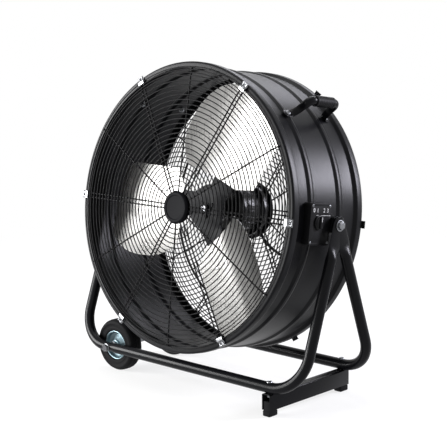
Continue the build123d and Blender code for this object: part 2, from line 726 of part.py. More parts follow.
def stand_tube(side):
    """One bent tube: lower run, two legs leaning to the pivot, crushed and drilled ends."""
    rise = PIVOT_Z - WHEEL_R
    length = math.hypot(BASE_HALF_DEPTH, rise)
    lean = math.degrees(math.atan2(BASE_HALF_DEPTH, rise))
    top = length - CRUSH_START
    path = FilletPolyline((-LEG_X, 0, top), (-LEG_X, 0, 0), (LEG_X, 0, 0), (LEG_X, 0, top), radius=BEND_R)
    ring = Circle(STAND_TUBE_R) - Circle(STAND_TUBE_R - STAND_TUBE_WALL)
    body = sweep(Plane(origin=path @ 0, z_dir=path % 0) * ring, path)
    tab_x = LEG_X + side * TAB_THICK / 2
    start = Plane(origin=(LEG_X, 0, top), x_dir=(1, 0, 0), z_dir=(0, 0, 1))
    end = Plane(origin=(tab_x, 0, length - CRUSH_END), x_dir=(1, 0, 0), z_dir=(0, 0, 1))
    crush = loft([start * Circle(STAND_TUBE_R), end * Ellipse(TAB_THICK / 2, TAB_WIDTH / 2)])
    tab = box_between(
        (tab_x - TAB_THICK / 2, -TAB_WIDTH / 2, length - CRUSH_END - 5),
        (tab_x + TAB_THICK / 2, TAB_WIDTH / 2, length),
    )
    tab += x_cylinder(TAB_WIDTH / 2, tab_x - TAB_THICK / 2, tab_x + TAB_THICK / 2, 0, length)
    tab -= x_cylinder(PIVOT_BOLT_R + 2 * RUNNING, LEG_X - 20, LEG_X + 20, 0, length)
    for piece in mirrored_sides(crush + tab):
        body += piece
    body = Pos(0, PIVOT_Y + side * BASE_HALF_DEPTH, WHEEL_R) * Rot(X=side * lean) * body
    body -= y_cylinder(AXLE_R, -200, 200, AXLE_X, WHEEL_R)
    return [body - z_cylinder(FOOT_BOLT_R, 0, 120, FOOT_X, PIVOT_Y + side * BASE_HALF_DEPTH)]


def foot_channel():
    """The inverted channel under both tubes at the end without wheels."""
    half = FOOT_WIDTH / 2
    low, high = FOOT_Z
    front, rear = PIVOT_Y - FOOT_HALF_LENGTH, PIVOT_Y + FOOT_HALF_LENGTH
    outer = box_between((FOOT_X - half, front, low), (FOOT_X + half, rear, high))
    outer = fillet(outer.edges().filter_by(Axis.Y).group_by(Axis.Z)[-1], 3)
    inner = box_between(
        (FOOT_X - half + FOOT_SHEET, front - 1, low - 1),
        (FOOT_X + half - FOOT_SHEET, rear + 1, high - FOOT_SHEET),
    )
    channel = outer - inner
    for side in (-1, 1):
        channel -= z_cylinder(FOOT_BOLT_R, 0, 120, FOOT_X, PIVOT_Y + side * BASE_HALF_DEPTH)
    return [channel]


def rubber_feet():
    """Rubber blocks pressed into the channel's ends, standing on the floor."""
    feet = []
    half = FOOT_WIDTH / 2 - FOOT_SHEET
    for side in (-1, 1):
        y = PIVOT_Y + side * (FOOT_HALF_LENGTH - 14)
        plug = box_between((FOOT_X - half, y - 12, 8), (FOOT_X + half, y + 12, 34))
        pad = box_between((FOOT_X - half, y - 13.5, 0), (FOOT_X + half, y + 13.5, 12))
        feet.append(plug + chamfer(pad.edges().group_by(Axis.Z)[0], 1.5))
    return feet


def foot_bolts():
    """Domed bolts down through tube and channel, with a nut under the channel's web."""
    bolts = []
    crown = WHEEL_R + STAND_TUBE_R
    web = FOOT_Z[1] - FOOT_SHEET
    for side in (-1, 1):
        y = PIVOT_Y + side * BASE_HALF_DEPTH
        head = z_cylinder(7.5, crown - 1.2, crown + 2.5, FOOT_X, y)
        head -= x_cylinder(STAND_TUBE_R + 0.1, FOOT_X - 9, FOOT_X + 9, y, WHEEL_R)
        dome = z_cylinder(5, crown + 2.5, crown + 4.5, FOOT_X, y)
        nut = Pos(FOOT_X, y, web - 6.5) * extrude(RegularPolygon(7.4, 6), 6.5)
        bolts.append(head + dome + nut + z_cylinder(FOOT_BOLT_R, web - 9, crown + 2, FOOT_X, y))
    return bolts


def wheel_axle():
    """The steel rod through both tubes and both wheels."""
    reach = BASE_HALF_DEPTH + STAND_TUBE_R + 7
    return [y_cylinder(AXLE_R, PIVOT_Y - reach, PIVOT_Y + reach, AXLE_X, WHEEL_R)]


def axle_nuts():
    """Plated nuts with a collar on the outside of the tubes."""
    nuts = []
    for side in (-1, 1):
        seat = BASE_HALF_DEPTH + STAND_TUBE_R - 1.0
        collar = turned([(AXLE_R, seat), (12, seat), (12, seat + 2), (AXLE_R, seat + 2)])
        flats = Pos(0, seat + 8, 0) * Rot(X=90) * extrude(RegularPolygon(10.5, 6), 6)
        nut = collar + (flats - y_cylinder(AXLE_R, 0, 300))
        nut -= x_cylinder(STAND_TUBE_R, -30, 30, BASE_HALF_DEPTH, 0)
        if side < 0:
            nut = mirror(nut, Plane.XZ)
        nuts.append(Pos(AXLE_X, PIVOT_Y, WHEEL_R) * nut)
    return nuts


def axle_spacers():
    """The tube between the wheels and the collars between wheel and stand tube."""
    half = TYRE_WIDTH / 2
    inner = WHEEL_Y - half + 1.7
    outer = WHEEL_Y + half - 1.7
    wall = BASE_HALF_DEPTH - STAND_TUBE_R
    rings = [(-inner, inner, 9.0), (outer, wall + 1.2, 10.0), (-wall - 1.2, -outer, 10.0)]
    spacers = []
    for low, high, radius in rings:
        ring = y_cylinder(radius, low, high) - y_cylinder(AXLE_R, low - 1, high + 1)
        for side in (-1, 1):
            ring -= x_cylinder(STAND_TUBE_R, -30, 30, side * BASE_HALF_DEPTH, 0)
        spacers.append(Pos(AXLE_X, PIVOT_Y, WHEEL_R) * ring)
    return spacers


def tyre():
    """A solid rubber tyre with a rounded tread and recessed sidewalls."""
    half = TYRE_WIDTH / 2
    seat = WHEEL_RIM_R
    side = [(seat, half - 5), (seat + 3, half - 1.5), (seat + 9, half - 1), (WHEEL_R - 10, half),
            (WHEEL_R - 4, half - 2.5), (WHEEL_R - 0.8, half - 8), (WHEEL_R, half - 13)]
    return turned(side + [(r, -y) for r, y in reversed(side)])


def wheel_rim():
    """The pressed rim: a band, a dished web and a hub tube."""
    half = TYRE_WIDTH / 2 - 5
    hub = TYRE_WIDTH / 2 - 2
    front = [(WHEEL_RIM_R, half), (WHEEL_RIM_R - 3, half), (WHEEL_RIM_R - 5, half - 8), (24, half - 12),
             (17, half - 6), (13, half - 4), (12, hub), (BUSH_R, hub)]
    return turned(front + [(r, -y) for r, y in reversed(front)])


def wheel_bush():
    """The plain bush between rim and axle."""
    hub = TYRE_WIDTH / 2 - 2
    return y_cylinder(BUSH_R, -hub, hub) - y_cylinder(AXLE_R + RUNNING, -30, 30)


def at_wheel(shape, side):
    return [Pos(AXLE_X, PIVOT_Y + side * WHEEL_Y, WHEEL_R) * shape]


DRUM_NODES = {
    "drum_shell": drum_shell(),
    "front_guard_rings": guard_rings(),
    "front_guard_spokes": guard_spokes() + spoke_hub_disc(),
    "guard_badge": guard_badge(),
    "front_guard_clips": ring_of(guard_clip(RIM_R), SPOKE_PAIRS),
    "front_clip_screws": ring_of(clip_screw(RIM_R), SPOKE_PAIRS),
    "rear_guard_rings": to_rear(guard_rings()) + [mount_ring()],
    "rear_guard_spokes": to_rear(guard_spokes()),
    "rear_guard_clips": to_rear(ring_of(guard_clip(REAR_RIM_R + 4), SPOKE_PAIRS)),
    "rear_clip_screws": to_rear(ring_of(clip_screw(REAR_RIM_R + 4), SPOKE_PAIRS)),
    "motor_plate": motor_plate(),
    "motor_plate_bolts": motor_plate_bolts(),
    "motor_front_bell": motor_front_bell(),
    "motor_rear_bell": motor_rear_bell(),
    "stator_core": stator_core(),
    "stator_windings": stator_windings(),
    "motor_bearings": motor_bearings(),
    "capacitor": capacitor(),
    "capacitor_bracket": capacitor_bracket(),
    "motor_lead": motor_lead(),
    "cable_gland": cable_gland(),
    "switch_box": switch_box(),
    "switch_plate": switch_plate(),
    "plate_screws": plate_screws(),
    "rotary_switch": rotary_switch(),
    "speed_knob": speed_knob(),
    "pivot_spacers": pivot_spacers(),
    "pivot_bolts": pivot_bolts(),
    "pivot_washers": pivot_washers(),
    "pivot_nuts": pivot_nuts(),
    "right_handle": handle(HANDLE_ANGLES["right_handle"]),
    "left_handle": handle(HANDLE_ANGLES["left_handle"]),
    "handle_bolts": handle_bolts(),
    "motor_shaft": motor_shaft(),
    "rotor_core": rotor_core(),
    "fan_hub": fan_hub(),
    "fan_blades": fan_blades(),
    "blade_rivets": blade_rivets(),
    "hub_fasteners": hub_fasteners(),
}

STAND_NODES = {
    "front_stand_tube": stand_tube(-1),
    "rear_stand_tube": stand_tube(1),
    "foot_channel": foot_channel(),
    "rubber_feet": rubber_feet(),
    "foot_bolts": foot_bolts(),
    "wheel_axle": wheel_axle(),
    "axle_nuts": axle_nuts(),
    "axle_spacers": axle_spacers(),
    "front_tyre": at_wheel(tyre(), -1),
    "front_wheel_rim": at_wheel(wheel_rim(), -1),
    "front_wheel_bush": at_wheel(wheel_bush(), -1),
    "rear_tyre": at_wheel(tyre(), 1),
    "rear_wheel_rim": at_wheel(wheel_rim(), 1),
    "rear_wheel_bush": at_wheel(wheel_bush(), 1),
}


def write_node(name, shapes):
    """One STEP file per node, its solids kept apart."""
    solids = [solid for shape in shapes for solid in shape.solids()]
    export_step(Compound(children=solids, label=name), "parts/" + name + ".step")


os.makedirs("parts", exist_ok=True)
for node, shapes in DRUM_NODES.items():
    write_node(node, [in_place(shape) for shape in shapes])
for node, shapes in STAND_NODES.items():
    write_node(node, shapes)
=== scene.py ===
import json
import math

import bmesh
import bpy
from bpy.props import FloatProperty, FloatVectorProperty, IntProperty, PointerProperty
from mathutils import Matrix, Vector


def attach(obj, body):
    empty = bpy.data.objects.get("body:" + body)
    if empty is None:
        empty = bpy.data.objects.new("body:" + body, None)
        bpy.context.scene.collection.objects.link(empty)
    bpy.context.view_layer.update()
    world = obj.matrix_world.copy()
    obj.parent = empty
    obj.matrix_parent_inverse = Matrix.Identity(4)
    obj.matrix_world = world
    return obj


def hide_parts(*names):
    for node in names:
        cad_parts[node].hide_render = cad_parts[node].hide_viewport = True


bl_info = {
    "name": "Drum Fan Dressing",
    "version": (1, 0, 0),
    "blender": (4, 5, 0),
    "location": "View3D > Sidebar > Drum Fan",
    "description": "Gives the packed drum fan its guard wires, tubes, fittings and finishes",
    "category": "Object",
}

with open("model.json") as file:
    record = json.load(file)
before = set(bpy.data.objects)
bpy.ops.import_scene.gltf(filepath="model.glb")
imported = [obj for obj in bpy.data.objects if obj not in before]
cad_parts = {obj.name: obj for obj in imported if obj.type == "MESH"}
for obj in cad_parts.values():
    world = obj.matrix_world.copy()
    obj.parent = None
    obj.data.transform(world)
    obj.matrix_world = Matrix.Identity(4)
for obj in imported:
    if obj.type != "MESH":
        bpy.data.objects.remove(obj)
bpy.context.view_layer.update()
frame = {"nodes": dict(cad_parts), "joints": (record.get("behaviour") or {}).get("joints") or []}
nodes = frame["nodes"]

# The drum frame: level drum, axis on Y, its middle at y = 0. Sizes below are in metres.
SPIN = next(j for j in frame["joints"] if j["name"] == "fan_spin")
PIVOT = Vector(SPIN["pos_m"])
TILT = math.atan2(SPIN["axis"][2], -SPIN["axis"][1])
PIVOT_IN_DRUM = Vector((0, 0.005, 0))
DRUM = Matrix.Translation(PIVOT) @ Matrix.Rotation(-TILT, 4, "X")
DRUM = DRUM @ Matrix.Translation(-PIVOT_IN_DRUM)
LEVEL = Matrix.Identity(4)
HALF_DEPTH = 0.124
FLANGE_R = 0.320
SHELL_R = 0.325
COLLAR = 0.020
STEP = 0.006
BEAD_PLACES = (-0.054, 0.046)
BEAD_FOOT, BEAD_TOP = 0.0112, 0.0036
FOOT_SHEET = 0.0035
HANDLES = {"right_handle": 45.0, "left_handle": 135.0}
HANDLE_BAR_R = 0.377
COVER_FACE = 0.3430
KNOB_AT = (0.3434, -0.046, 0.004)

# The stand, from the floor up
WHEEL_X, WHEEL_R, WHEEL_OFF = -0.257, 0.064, 0.093
FOOT_X = 0.268
LEG_X = 0.3575
TUBE_OFF = 0.1275


def metres(name, description, default):
    return FloatProperty(name=name, description=description, default=default, unit="LENGTH")


def number(name, description, default, least):
    return IntProperty(name=name, description=description, default=default, min=least)


def shade(name, description, default):
    return FloatVectorProperty(
        name=name, description=description, default=default, subtype="COLOR")


class DrumFanSizes(bpy.types.PropertyGroup):
    """Sizes that a user would change."""

    ring_wire: metres("Ring wire", "Thickness of the guard's rings", 0.0026)
    spoke_wire: metres("Spoke wire", "Thickness of the guard's spokes", 0.0036)
    first_ring: metres("First ring", "Radius of the innermost ring", 0.050)
    ring_pitch: metres("Ring pitch", "Step from ring to ring", 0.01095)
    ring_count: number("Rings", "Rings in the even field", 24, 2)
    outer_pitch: metres("Outer pitch", "Step in the close outer group", 0.0068)
    outer_count: number("Outer rings", "Rings in the outer group", 3, 0)
    guard_dish: metres("Guard dish", "Rise of the guard to its middle", 0.008)
    rim_radius: metres("Front rim", "Radius of the front collar", 0.335)
    rear_rim_radius: metres("Rear rim", "Radius of the rear collar", 0.332)
    bead_rise: metres("Bead rise", "Height of the pressed beads", 0.004)
    sheet: metres("Sheet", "Thickness of the drum's sheet", 0.0015)
    stand_tube: metres("Stand tube", "Radius of the stand's tube", 0.0125)
    stand_bend: metres("Stand bend", "Bend radius of the stand's corners", 0.085)
    handle_tube: metres("Handle tube", "Radius of the handle's tube", 0.010)


class DrumFanColours(bpy.types.PropertyGroup):
    """Colours that a user would change."""

    coat: shade("Coat", "Powder coat of drum and stand", (0.0035, 0.0036, 0.0044))
    wire: shade("Wire", "Coat of the guard wires", (0.0040, 0.0040, 0.0045))
    motor: shade("Motor", "Enamel of the motor", (0.0040, 0.0040, 0.0046))
    blade: shade("Blade", "Rolled blade sheet", (0.24, 0.237, 0.230))
    hub: shade("Hub", "Arms and hub plate", (0.008, 0.0083, 0.0095))
    zinc: shade("Zinc", "Bright zinc plate", (0.20, 0.203, 0.212))
    wheel_zinc: shade("Wheel zinc", "Blued zinc of the rims", (0.20, 0.27, 0.30))
    rubber: shade("Rubber", "Tyres and feet", (0.0055, 0.0055, 0.0060))
    moulding: shade("Moulding", "Control box and knob", (0.004, 0.004, 0.0045))
    fastener: shade("Fasteners", "Dull zinc of screws and nuts", (0.18, 0.185, 0.195))
    print_white: shade("Print", "Printed dial marks", (0.60, 0.60, 0.60))


# Maths on sockets, for shaders and for geometry alike


def feed(tree, socket, value):
    """Links a term to a socket, or sets a plain value there."""
    if isinstance(value, Term):
        tree.links.new(value.socket, socket)
    else:
        socket.default_value = value


def calculated(operation, reflected=False):
    """A method that adds one Math node; a reflected one puts its own socket last."""
    def method(self, *others):
        node = self.tree.nodes.new("ShaderNodeMath")
        node.operation = operation
        for socket, value in zip(node.inputs, (*others, self) if reflected else (self, *others)):
            feed(self.tree, socket, value)
        return Term(self.tree, node.outputs[0])

    return method


class Term:
    """A socket that adds Math nodes when it is calculated with."""

    def __init__(self, tree, socket):
        self.tree = tree
        self.socket = socket

    __add__ = calculated("ADD")
    __sub__ = calculated("SUBTRACT")
    __mul__ = calculated("MULTIPLY")
    __truediv__ = calculated("DIVIDE")
    __rsub__ = calculated("SUBTRACT", reflected=True)
    __rtruediv__ = calculated("DIVIDE", reflected=True)
    least = calculated("MINIMUM")
    most = calculated("MAXIMUM")
    power = calculated("POWER")
    sine = calculated("SINE")

    def clamped(self):
        return self.most(0.0).least(1.0)


class Tree:
    """Something with a node tree, whose nodes are made with their inputs set or linked."""

    def node(self, kind, **inputs):
        made = self.tree.nodes.new(kind)
        for key, value in inputs.items():
            feed(self.tree, made.inputs[key.replace("_", " ")], value)
        return made

    def term(self, kind, **inputs):
        """The first output of a new node."""
        return Term(self.tree, self.node(kind, **inputs).outputs[0])

    def parts(self, vector):
        """A vector's three numbers."""
        split = self.node("ShaderNodeSeparateXYZ", Vector=vector)
        return [Term(self.tree, socket) for socket in split.outputs]


class Finish(Tree):
    """A material in the making: Object coordinates in, one Principled shader out."""

    def __init__(self, name, colour, metallic=0.0, roughness=0.5, **shader_values):
        self.material = bpy.data.materials.new(name)
        self.material.use_nodes = True
        self.tree = self.material.node_tree
        self.shader = self.tree.nodes["Principled BSDF"]
        self.colour = (*colour, 1.0)
        self.shader.inputs["Base Color"].default_value = self.colour
        self.shader.inputs["Metallic"].default_value = metallic
        self.shader.inputs["Roughness"].default_value = roughness
        for key, value in shader_values.items():
            self.shader.inputs[key.replace("_", " ")].default_value = value
        self.place = self.tree.nodes.new("ShaderNodeTexCoord").outputs["Object"]

    def stretched(self, scale, turn=(0.0, 0.0, 0.0)):
        """Object coordinates turned and stretched by a Mapping node."""
        mapping = self.node("ShaderNodeMapping", Scale=scale, Rotation=turn)
        self.tree.links.new(self.place, mapping.inputs["Vector"])
        return mapping.outputs["Vector"]

    def noise(self, scale, detail=2.0, rough=0.5, place=None):
        made = self.node("ShaderNodeTexNoise", Scale=scale, Detail=detail, Roughness=rough)
        self.tree.links.new(place or self.place, made.inputs["Vector"])
        return Term(self.tree, made.outputs["Fac"])

    def cells(self, scale, place=None, output="Distance"):
        made = self.node("ShaderNodeTexVoronoi", Scale=scale)
        self.tree.links.new(place or self.place, made.inputs["Vector"])
        return Term(self.tree, made.outputs[output])

    def axis_values(self, place=None):
        return self.parts(Term(self.tree, place or self.place))

    def tint(self, amount, dark, light):
        """Base colour between two shades of the finish's own colour."""
        mix = self.tree.nodes.new("ShaderNodeMix")
        mix.data_type = "RGBA"
        self.tree.links.new(amount.clamped().socket, mix.inputs["Factor"])
        for key, factor in (("A", dark), ("B", light)):
            socket = next(s for s in mix.inputs if s.type == "RGBA" and s.name == key)
            socket.default_value = (*(min(1.0, c * factor) for c in self.colour[:3]), 1.0)
        out = next(s for s in mix.outputs if s.type == "RGBA")
        self.tree.links.new(out, self.shader.inputs["Base Color"])
        return self

    def rough(self, term):
        self.tree.links.new(term.clamped().socket, self.shader.inputs["Roughness"])
        return self

    def bump(self, term, distance, strength=1.0):
        """The material, once the surface has its relief."""
        bump = self.node("ShaderNodeBump", Distance=distance, Strength=strength, Height=term)
        self.tree.links.new(bump.outputs["Normal"], self.shader.inputs["Normal"])
        return self.material


def powder_coat(name, colour, roughness, peel=0.00006, shine=0.09):
    """Satin powder coat: fine orange peel, faint clouds in the gloss, a little dust."""
    finish = Finish(name, colour, roughness=roughness, Specular_IOR_Level=shine)
    clouds = finish.noise(9.0, 3.0)
    grain = finish.noise(1500.0, 1.0)
    peel_height = finish.noise(650.0, 2.0) + grain * 0.35
    finish.tint(clouds * 0.7 + grain * 0.3, 0.75, 1.5)
    finish.rough(clouds * 0.10 + grain * 0.05 + (roughness - 0.07))
    return finish.bump(peel_height, peel)


def zinc_plate(name, colour, roughness=0.26):
    """Bright zinc: small spangle cells, a fine grain in the relief and slightly dull patches."""
    finish = Finish(name, colour, metallic=1.0, roughness=roughness)
    spangle = finish.cells(420.0, output="Color")
    patches = finish.noise(60.0, 3.0)
    finish.tint(patches * 0.6 + spangle * 0.4, 0.72, 1.12)
    finish.rough(patches * 0.22 + spangle * 0.06 + (roughness - 0.12))
    return finish.bump(finish.noise(1200.0, 2.0), 0.00003)


def rolled_aluminium(name, colour):
    """Satin blade sheet with rolling lines, soft smudges and fine scratches."""
    finish = Finish(name, colour, metallic=1.0, roughness=0.30)
    lines = finish.noise(220.0, 2.0, place=finish.stretched((1.0, 0.12, 0.05), (0.0, 0.5, 0.0)))
    smudge = finish.noise(7.0, 4.0, 0.6)
    across = finish.stretched((0.06, 1.0, 1.0), (0.3, 0.0, 0.7))
    scratches = finish.noise(500.0, 1.0, place=across)
    finish.tint(smudge * 0.7 + lines * 0.3, 0.80, 1.08)
    finish.rough(smudge * 0.16 + lines * 0.10 + scratches * 0.06 + 0.13)
    return finish.bump(lines + scratches * 0.5, 0.00004)


def cast_enamel(name, colour):
    """Gloss enamel over a die casting, with a soft cast skin below."""
    finish = Finish(name, colour, roughness=0.24, Specular_IOR_Level=0.22)
    skin = finish.noise(140.0, 3.0)
    finish.tint(finish.noise(25.0, 2.0), 0.7, 1.6)
    finish.rough(skin * 0.14 + 0.17)
    return finish.bump(skin, 0.00020)


def moulding(name, colour, roughness=0.5):
    """Spark-textured thermoplastic."""
    finish = Finish(name, colour, roughness=roughness, Specular_IOR_Level=0.08)
    texture = finish.cells(1400.0)
    finish.tint(finish.noise(30.0, 2.0), 0.85, 1.3)
    finish.rough(texture * 0.15 + finish.noise(20.0, 3.0) * 0.12 + (roughness - 0.12))
    return finish.bump(texture, 0.00006)


def rubber(name, colour, roughness=0.72):
    """Matt rubber with fine skin and pale bloom."""
    finish = Finish(name, colour, roughness=roughness, Specular_IOR_Level=0.05)
    bloom = finish.noise(35.0, 4.0, 0.65)
    finish.tint(bloom, 0.7, 1.6)
    finish.rough(bloom * 0.16 + (roughness - 0.08))
    return finish.bump(finish.noise(900.0, 3.0), 0.00010)


def sheet_stack(name, colour):
    """Lacquered motor sheets: fine lines across the motor's axis."""
    finish = Finish(name, colour, metallic=0.7, roughness=0.42)
    _, along, _ = finish.axis_values(finish.stretched((1.0, 1.0, 1.0), (TILT, 0.0, 0.0)))
    lines = (along * (math.tau / 0.0012)).sine() * 0.5 + 0.5
    finish.tint(lines * 0.6 + finish.noise(40.0) * 0.4, 0.6, 1.5)
    finish.rough(finish.noise(90.0, 2.0) * 0.2 + 0.32)
    return finish.bump(lines, 0.00008)


def ground_steel(name, colour):
    """Ground bar: tight lines round it, oil-dulled patches."""
    finish = Finish(name, colour, metallic=1.0, roughness=0.25)
    lines = finish.noise(900.0, 1.0, place=finish.stretched((0.05, 1.0, 0.05)))
    finish.tint(finish.noise(30.0, 2.0), 0.75, 1.08)
    finish.rough(lines * 0.12 + 0.2)
    return finish.bump(lines, 0.00002)


def copper_turns(name, colour):
    """Enamelled copper wire wound in rings."""
    finish = Finish(name, colour, metallic=0.85, roughness=0.3)
    wires = finish.cells(600.0, place=finish.stretched((1.0, 1.0, 1.0), (TILT, 0.0, 0.0)))
    finish.tint(wires, 1.15, 0.55)
    finish.rough(wires * 0.2 + 0.25)
    return finish.bump(wires, 0.0004, 0.7)


def printed_ink(name, colour):
    """Matt printing ink with tiny gaps."""
    finish = Finish(name, colour, roughness=0.55)
    speckle = finish.noise(2500.0, 1.0)
    finish.tint(speckle, 0.85, 1.05)
    return finish.rough(speckle * 0.1 + 0.5).material


FINISHES = {}


def make_finishes(colours):
    """All finishes, keyed by the record's material slots."""
    table = {
        "powder_black": (powder_coat, colours.coat, 0.32),
        "stand_black": (powder_coat, colours.coat, 0.24, 0.00003, 0.08),
        "guard_wire": (powder_coat, colours.wire, 0.30, 0.00003, 0.05),
        "badge_lacquer": (powder_coat, colours.coat, 0.50, 0.00006, 0.025),
        "zinc_clip": (zinc_plate, colours.zinc, 0.20),
        "zinc_fastener": (zinc_plate, colours.fastener, 0.28),
        "motor_black": (cast_enamel, colours.motor),
        "lamination_steel": (sheet_stack, (0.08, 0.08, 0.085)),
        "winding_copper": (copper_turns, (0.62, 0.27, 0.11)),
        "bearing_steel": (ground_steel, (0.15, 0.15, 0.16)),
        "capacitor_shell": (moulding, (0.72, 0.72, 0.70), 0.42),
        "black_moulding": (moulding, colours.moulding, 0.48),
        "knob_moulding": (moulding, colours.moulding, 0.36),
        "lead_sheath": (rubber, colours.rubber, 0.5),
        "blade_aluminium": (rolled_aluminium, colours.blade),
        "hub_steel": (powder_coat, colours.hub, 0.42, 0.00005, 0.07),
        "rivet_aluminium": (zinc_plate, (0.80, 0.80, 0.80), 0.3),
        "foot_rubber": (rubber, colours.rubber),
        "tyre_rubber": (rubber, colours.rubber, 0.62),
        "rim_zinc": (zinc_plate, colours.wheel_zinc, 0.34),
        "bush_plastic": (moulding, (0.74, 0.73, 0.70), 0.4),
        "dial_print": (printed_ink, colours.print_white),
    }
    FINISHES.update({name: make(name, *values) for name, (make, *values) in table.items()})


# Meshes


def linked(name, data):
    """A new object in the scene."""
    obj = bpy.data.objects.new(name, data)
    bpy.context.scene.collection.objects.link(obj)
    return obj


def poured(name, work):
    """A new object with a bmesh as its mesh."""
    mesh = bpy.data.meshes.new(name)
    work.to_mesh(mesh)
    work.free()
    return linked(name, mesh)


def mesh_object(name, verts, faces, place=LEVEL):
    """A mesh with its place in its vertices and its faces turned outwards."""
    mesh = bpy.data.meshes.new(name)
    mesh.from_pydata([tuple(v) for v in verts], [], faces)
    work = bmesh.new()
    work.from_mesh(mesh)
    bmesh.ops.remove_doubles(work, verts=work.verts, dist=1e-6)
    bmesh.ops.recalc_face_normals(work, faces=work.faces)
    bmesh.ops.transform(work, matrix=place, verts=work.verts)
    work.to_mesh(mesh)
    work.free()
    return linked(name, mesh)


def joined(name, objects):
    """One object of several loose ones."""
    work = bmesh.new()
    for obj in objects:
        work.from_mesh(obj.data)
        bpy.data.objects.remove(obj)
    return poured(name, work)


def settled(obj):
    """The object with its modifiers turned into plain mesh."""
    bpy.context.view_layer.update()
    graph = bpy.context.evaluated_depsgraph_get()
    mesh = bpy.data.meshes.new_from_object(obj.evaluated_get(graph))
    obj.modifiers.clear()
    obj.data = mesh
    return obj


def bevelled(obj, width, segments=2, angle=35.0):
    bevel = obj.modifiers.new("edge", "BEVEL")
    bevel.width = width
    bevel.segments = segments
    bevel.limit_method = "ANGLE"
    bevel.angle_limit = math.radians(angle)
    return settled(obj)


def done(obj, body, slot, *replaced, sharp=38.0):
    """Shades a piece, gives it its finish and hands it to the frame."""
    mesh = obj.data
    mesh.materials.clear()
    mesh.materials.append(FINISHES[slot])
    for key, value in (("use_smooth", True), ("material_index", 0)):
        mesh.polygons.foreach_set(key, [value] * len(mesh.polygons))
    mesh.set_sharp_from_angle(angle=math.radians(sharp))
    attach(obj, body)
    if replaced:
        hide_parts(*replaced)
    return obj


def from_node(node, name, bevel, angle=35.0):
    """A merged copy of a CAD node, with its edges eased."""
    work = bmesh.new()
    work.from_mesh(nodes[node].data)
    bmesh.ops.remove_doubles(work, verts=work.verts, dist=2e-6)
    bmesh.ops.dissolve_limit(
        work, angle_limit=math.radians(1.0), verts=work.verts, edges=work.edges)
    return bevelled(poured(name, work), bevel, 2, angle)


def dressed(node, name, bevel, body, slot, angle=35.0, sharp=38.0):
    """A CAD node's copy that stands for the node itself."""
    return done(from_node(node, name, bevel, angle), body, slot, node, sharp=sharp)


def rounded(points, radius, steps=5):
    """A polyline with its inner corners turned into arcs."""
    out = [Vector(points[0])]
    for before, corner, after in zip(points, points[1:], points[2:]):
        before, corner, after = Vector(before), Vector(corner), Vector(after)
        a, b = (before - corner), (after - corner)
        turn = math.pi - a.angle(b)
        if turn < 0.01:
            out.append(corner)
            continue
        reach = min(radius * math.tan(turn / 2), a.length * 0.48, b.length * 0.48)
        start, end = corner + a.normalized() * reach, corner + b.normalized() * reach
        for k in range(steps + 1):
            t = k / steps
            weight = math.cos(turn / 2)
            w = 2 * t * (1 - t) * weight
            total = (1 - t) ** 2 + w + t ** 2
            out.append((start * (1 - t) ** 2 + corner * w + end * t ** 2) / total)
    out.append(Vector(points[-1]))
    return out


def on_circle(radius, angle, y):
    return radius * math.cos(angle), y, radius * math.sin(angle)


def turned(name, profile, place, segments=96, closed=False):
    """A shape turned about Y from (radius, y) points; a radius of 0 is a pole."""
    verts, faces, rings = [], [], []
    for r, y in profile:
        if r < 1e-9:
            rings.append([len(verts)] * segments)
            verts.append((0, y, 0))
            continue
        rings.append(list(range(len(verts), len(verts) + segments)))
        verts += [on_circle(r, math.tau * k / segments, y) for k in range(segments)]
    pairs = list(zip(rings, rings[1:])) + ([(rings[-1], rings[0])] if closed else [])
    for low, high in pairs:
        for k in range(segments):
            n = (k + 1) % segments
            face = list(dict.fromkeys((low[k], low[n], high[n], high[k])))
            if len(face) > 2:
                faces.append(face)
    return mesh_object(name, verts, faces, place)


def thread_end(name, radius, low, high, ease, place, segments):
    """A bolt's end along Y; ease gives the size of its chamfer across and along."""
    across, along = ease
    line = [(0, low), (radius - across, low), (radius, low + along), (radius, high), (0, high)]
    return turned(name, line, place, segments)


def strips(rows, columns, closed=True):
    """Faces between neighbouring rows of vertices; closed rows join their own ends."""
    faces = []
    for row in range(rows - 1):
        low, high = row * columns, (row + 1) * columns
        for k in range(columns if closed else columns - 1):
            n = (k + 1) % columns
            faces.append((low + k, low + n, high + n, high + k))
    return faces


def row_face(row, columns):
    """The one face that closes a row of vertices."""
    return tuple(range(row * columns, (row + 1) * columns))


def sheet_profile(outer, thickness):
    """A closed section: the outer line and the same line a sheet's thickness inside."""
    inner = []
    for k, point in enumerate(outer):
        a = outer[max(k - 1, 0)]
        b = outer[min(k + 1, len(outer) - 1)]
        along = (b - a).normalized()
        inner.append(point + Vector((-along.y, along.x)) * thickness)
    return outer + inner[::-1]


def swept(name, path, sections, across, place=LEVEL, corners=28):
    """A tube along a path; sections gives its two half widths at each point,
    the first one along the fixed direction across."""
    verts = []
    count = len(path)
    side = across.normalized()
    for k, (point, (a, b)) in enumerate(zip(path, sections)):
        along = (path[min(k + 1, count - 1)] - path[max(k - 1, 0)]).normalized()
        other = along.cross(side).normalized()
        for j in range(corners):
            angle = math.tau * j / corners
            verts.append(point + side * (a * math.cos(angle)) + other * (b * math.sin(angle)))
    faces = strips(count, corners) + [row_face(0, corners), row_face(count - 1, corners)]
    return mesh_object(name, verts, faces, place)


def lengths(path):
    """Running length along a path."""
    run = [0.0]
    for a, b in zip(path, path[1:]):
        run.append(run[-1] + (b - a).length)
    return run


def dense(path, step):
    """The same path with extra points, no further apart than step."""
    out = [path[0]]
    for a, b in zip(path, path[1:]):
        parts = max(1, math.ceil((b - a).length / step))
        out += [a.lerp(b, k / parts) for k in range(1, parts + 1)]
    return out


def eased(value, low, high):
    """0 before low, 1 after high, smooth between."""
    t = min(max((value - low) / (high - low), 0.0), 1.0)
    return t * t * (3 - 2 * t)


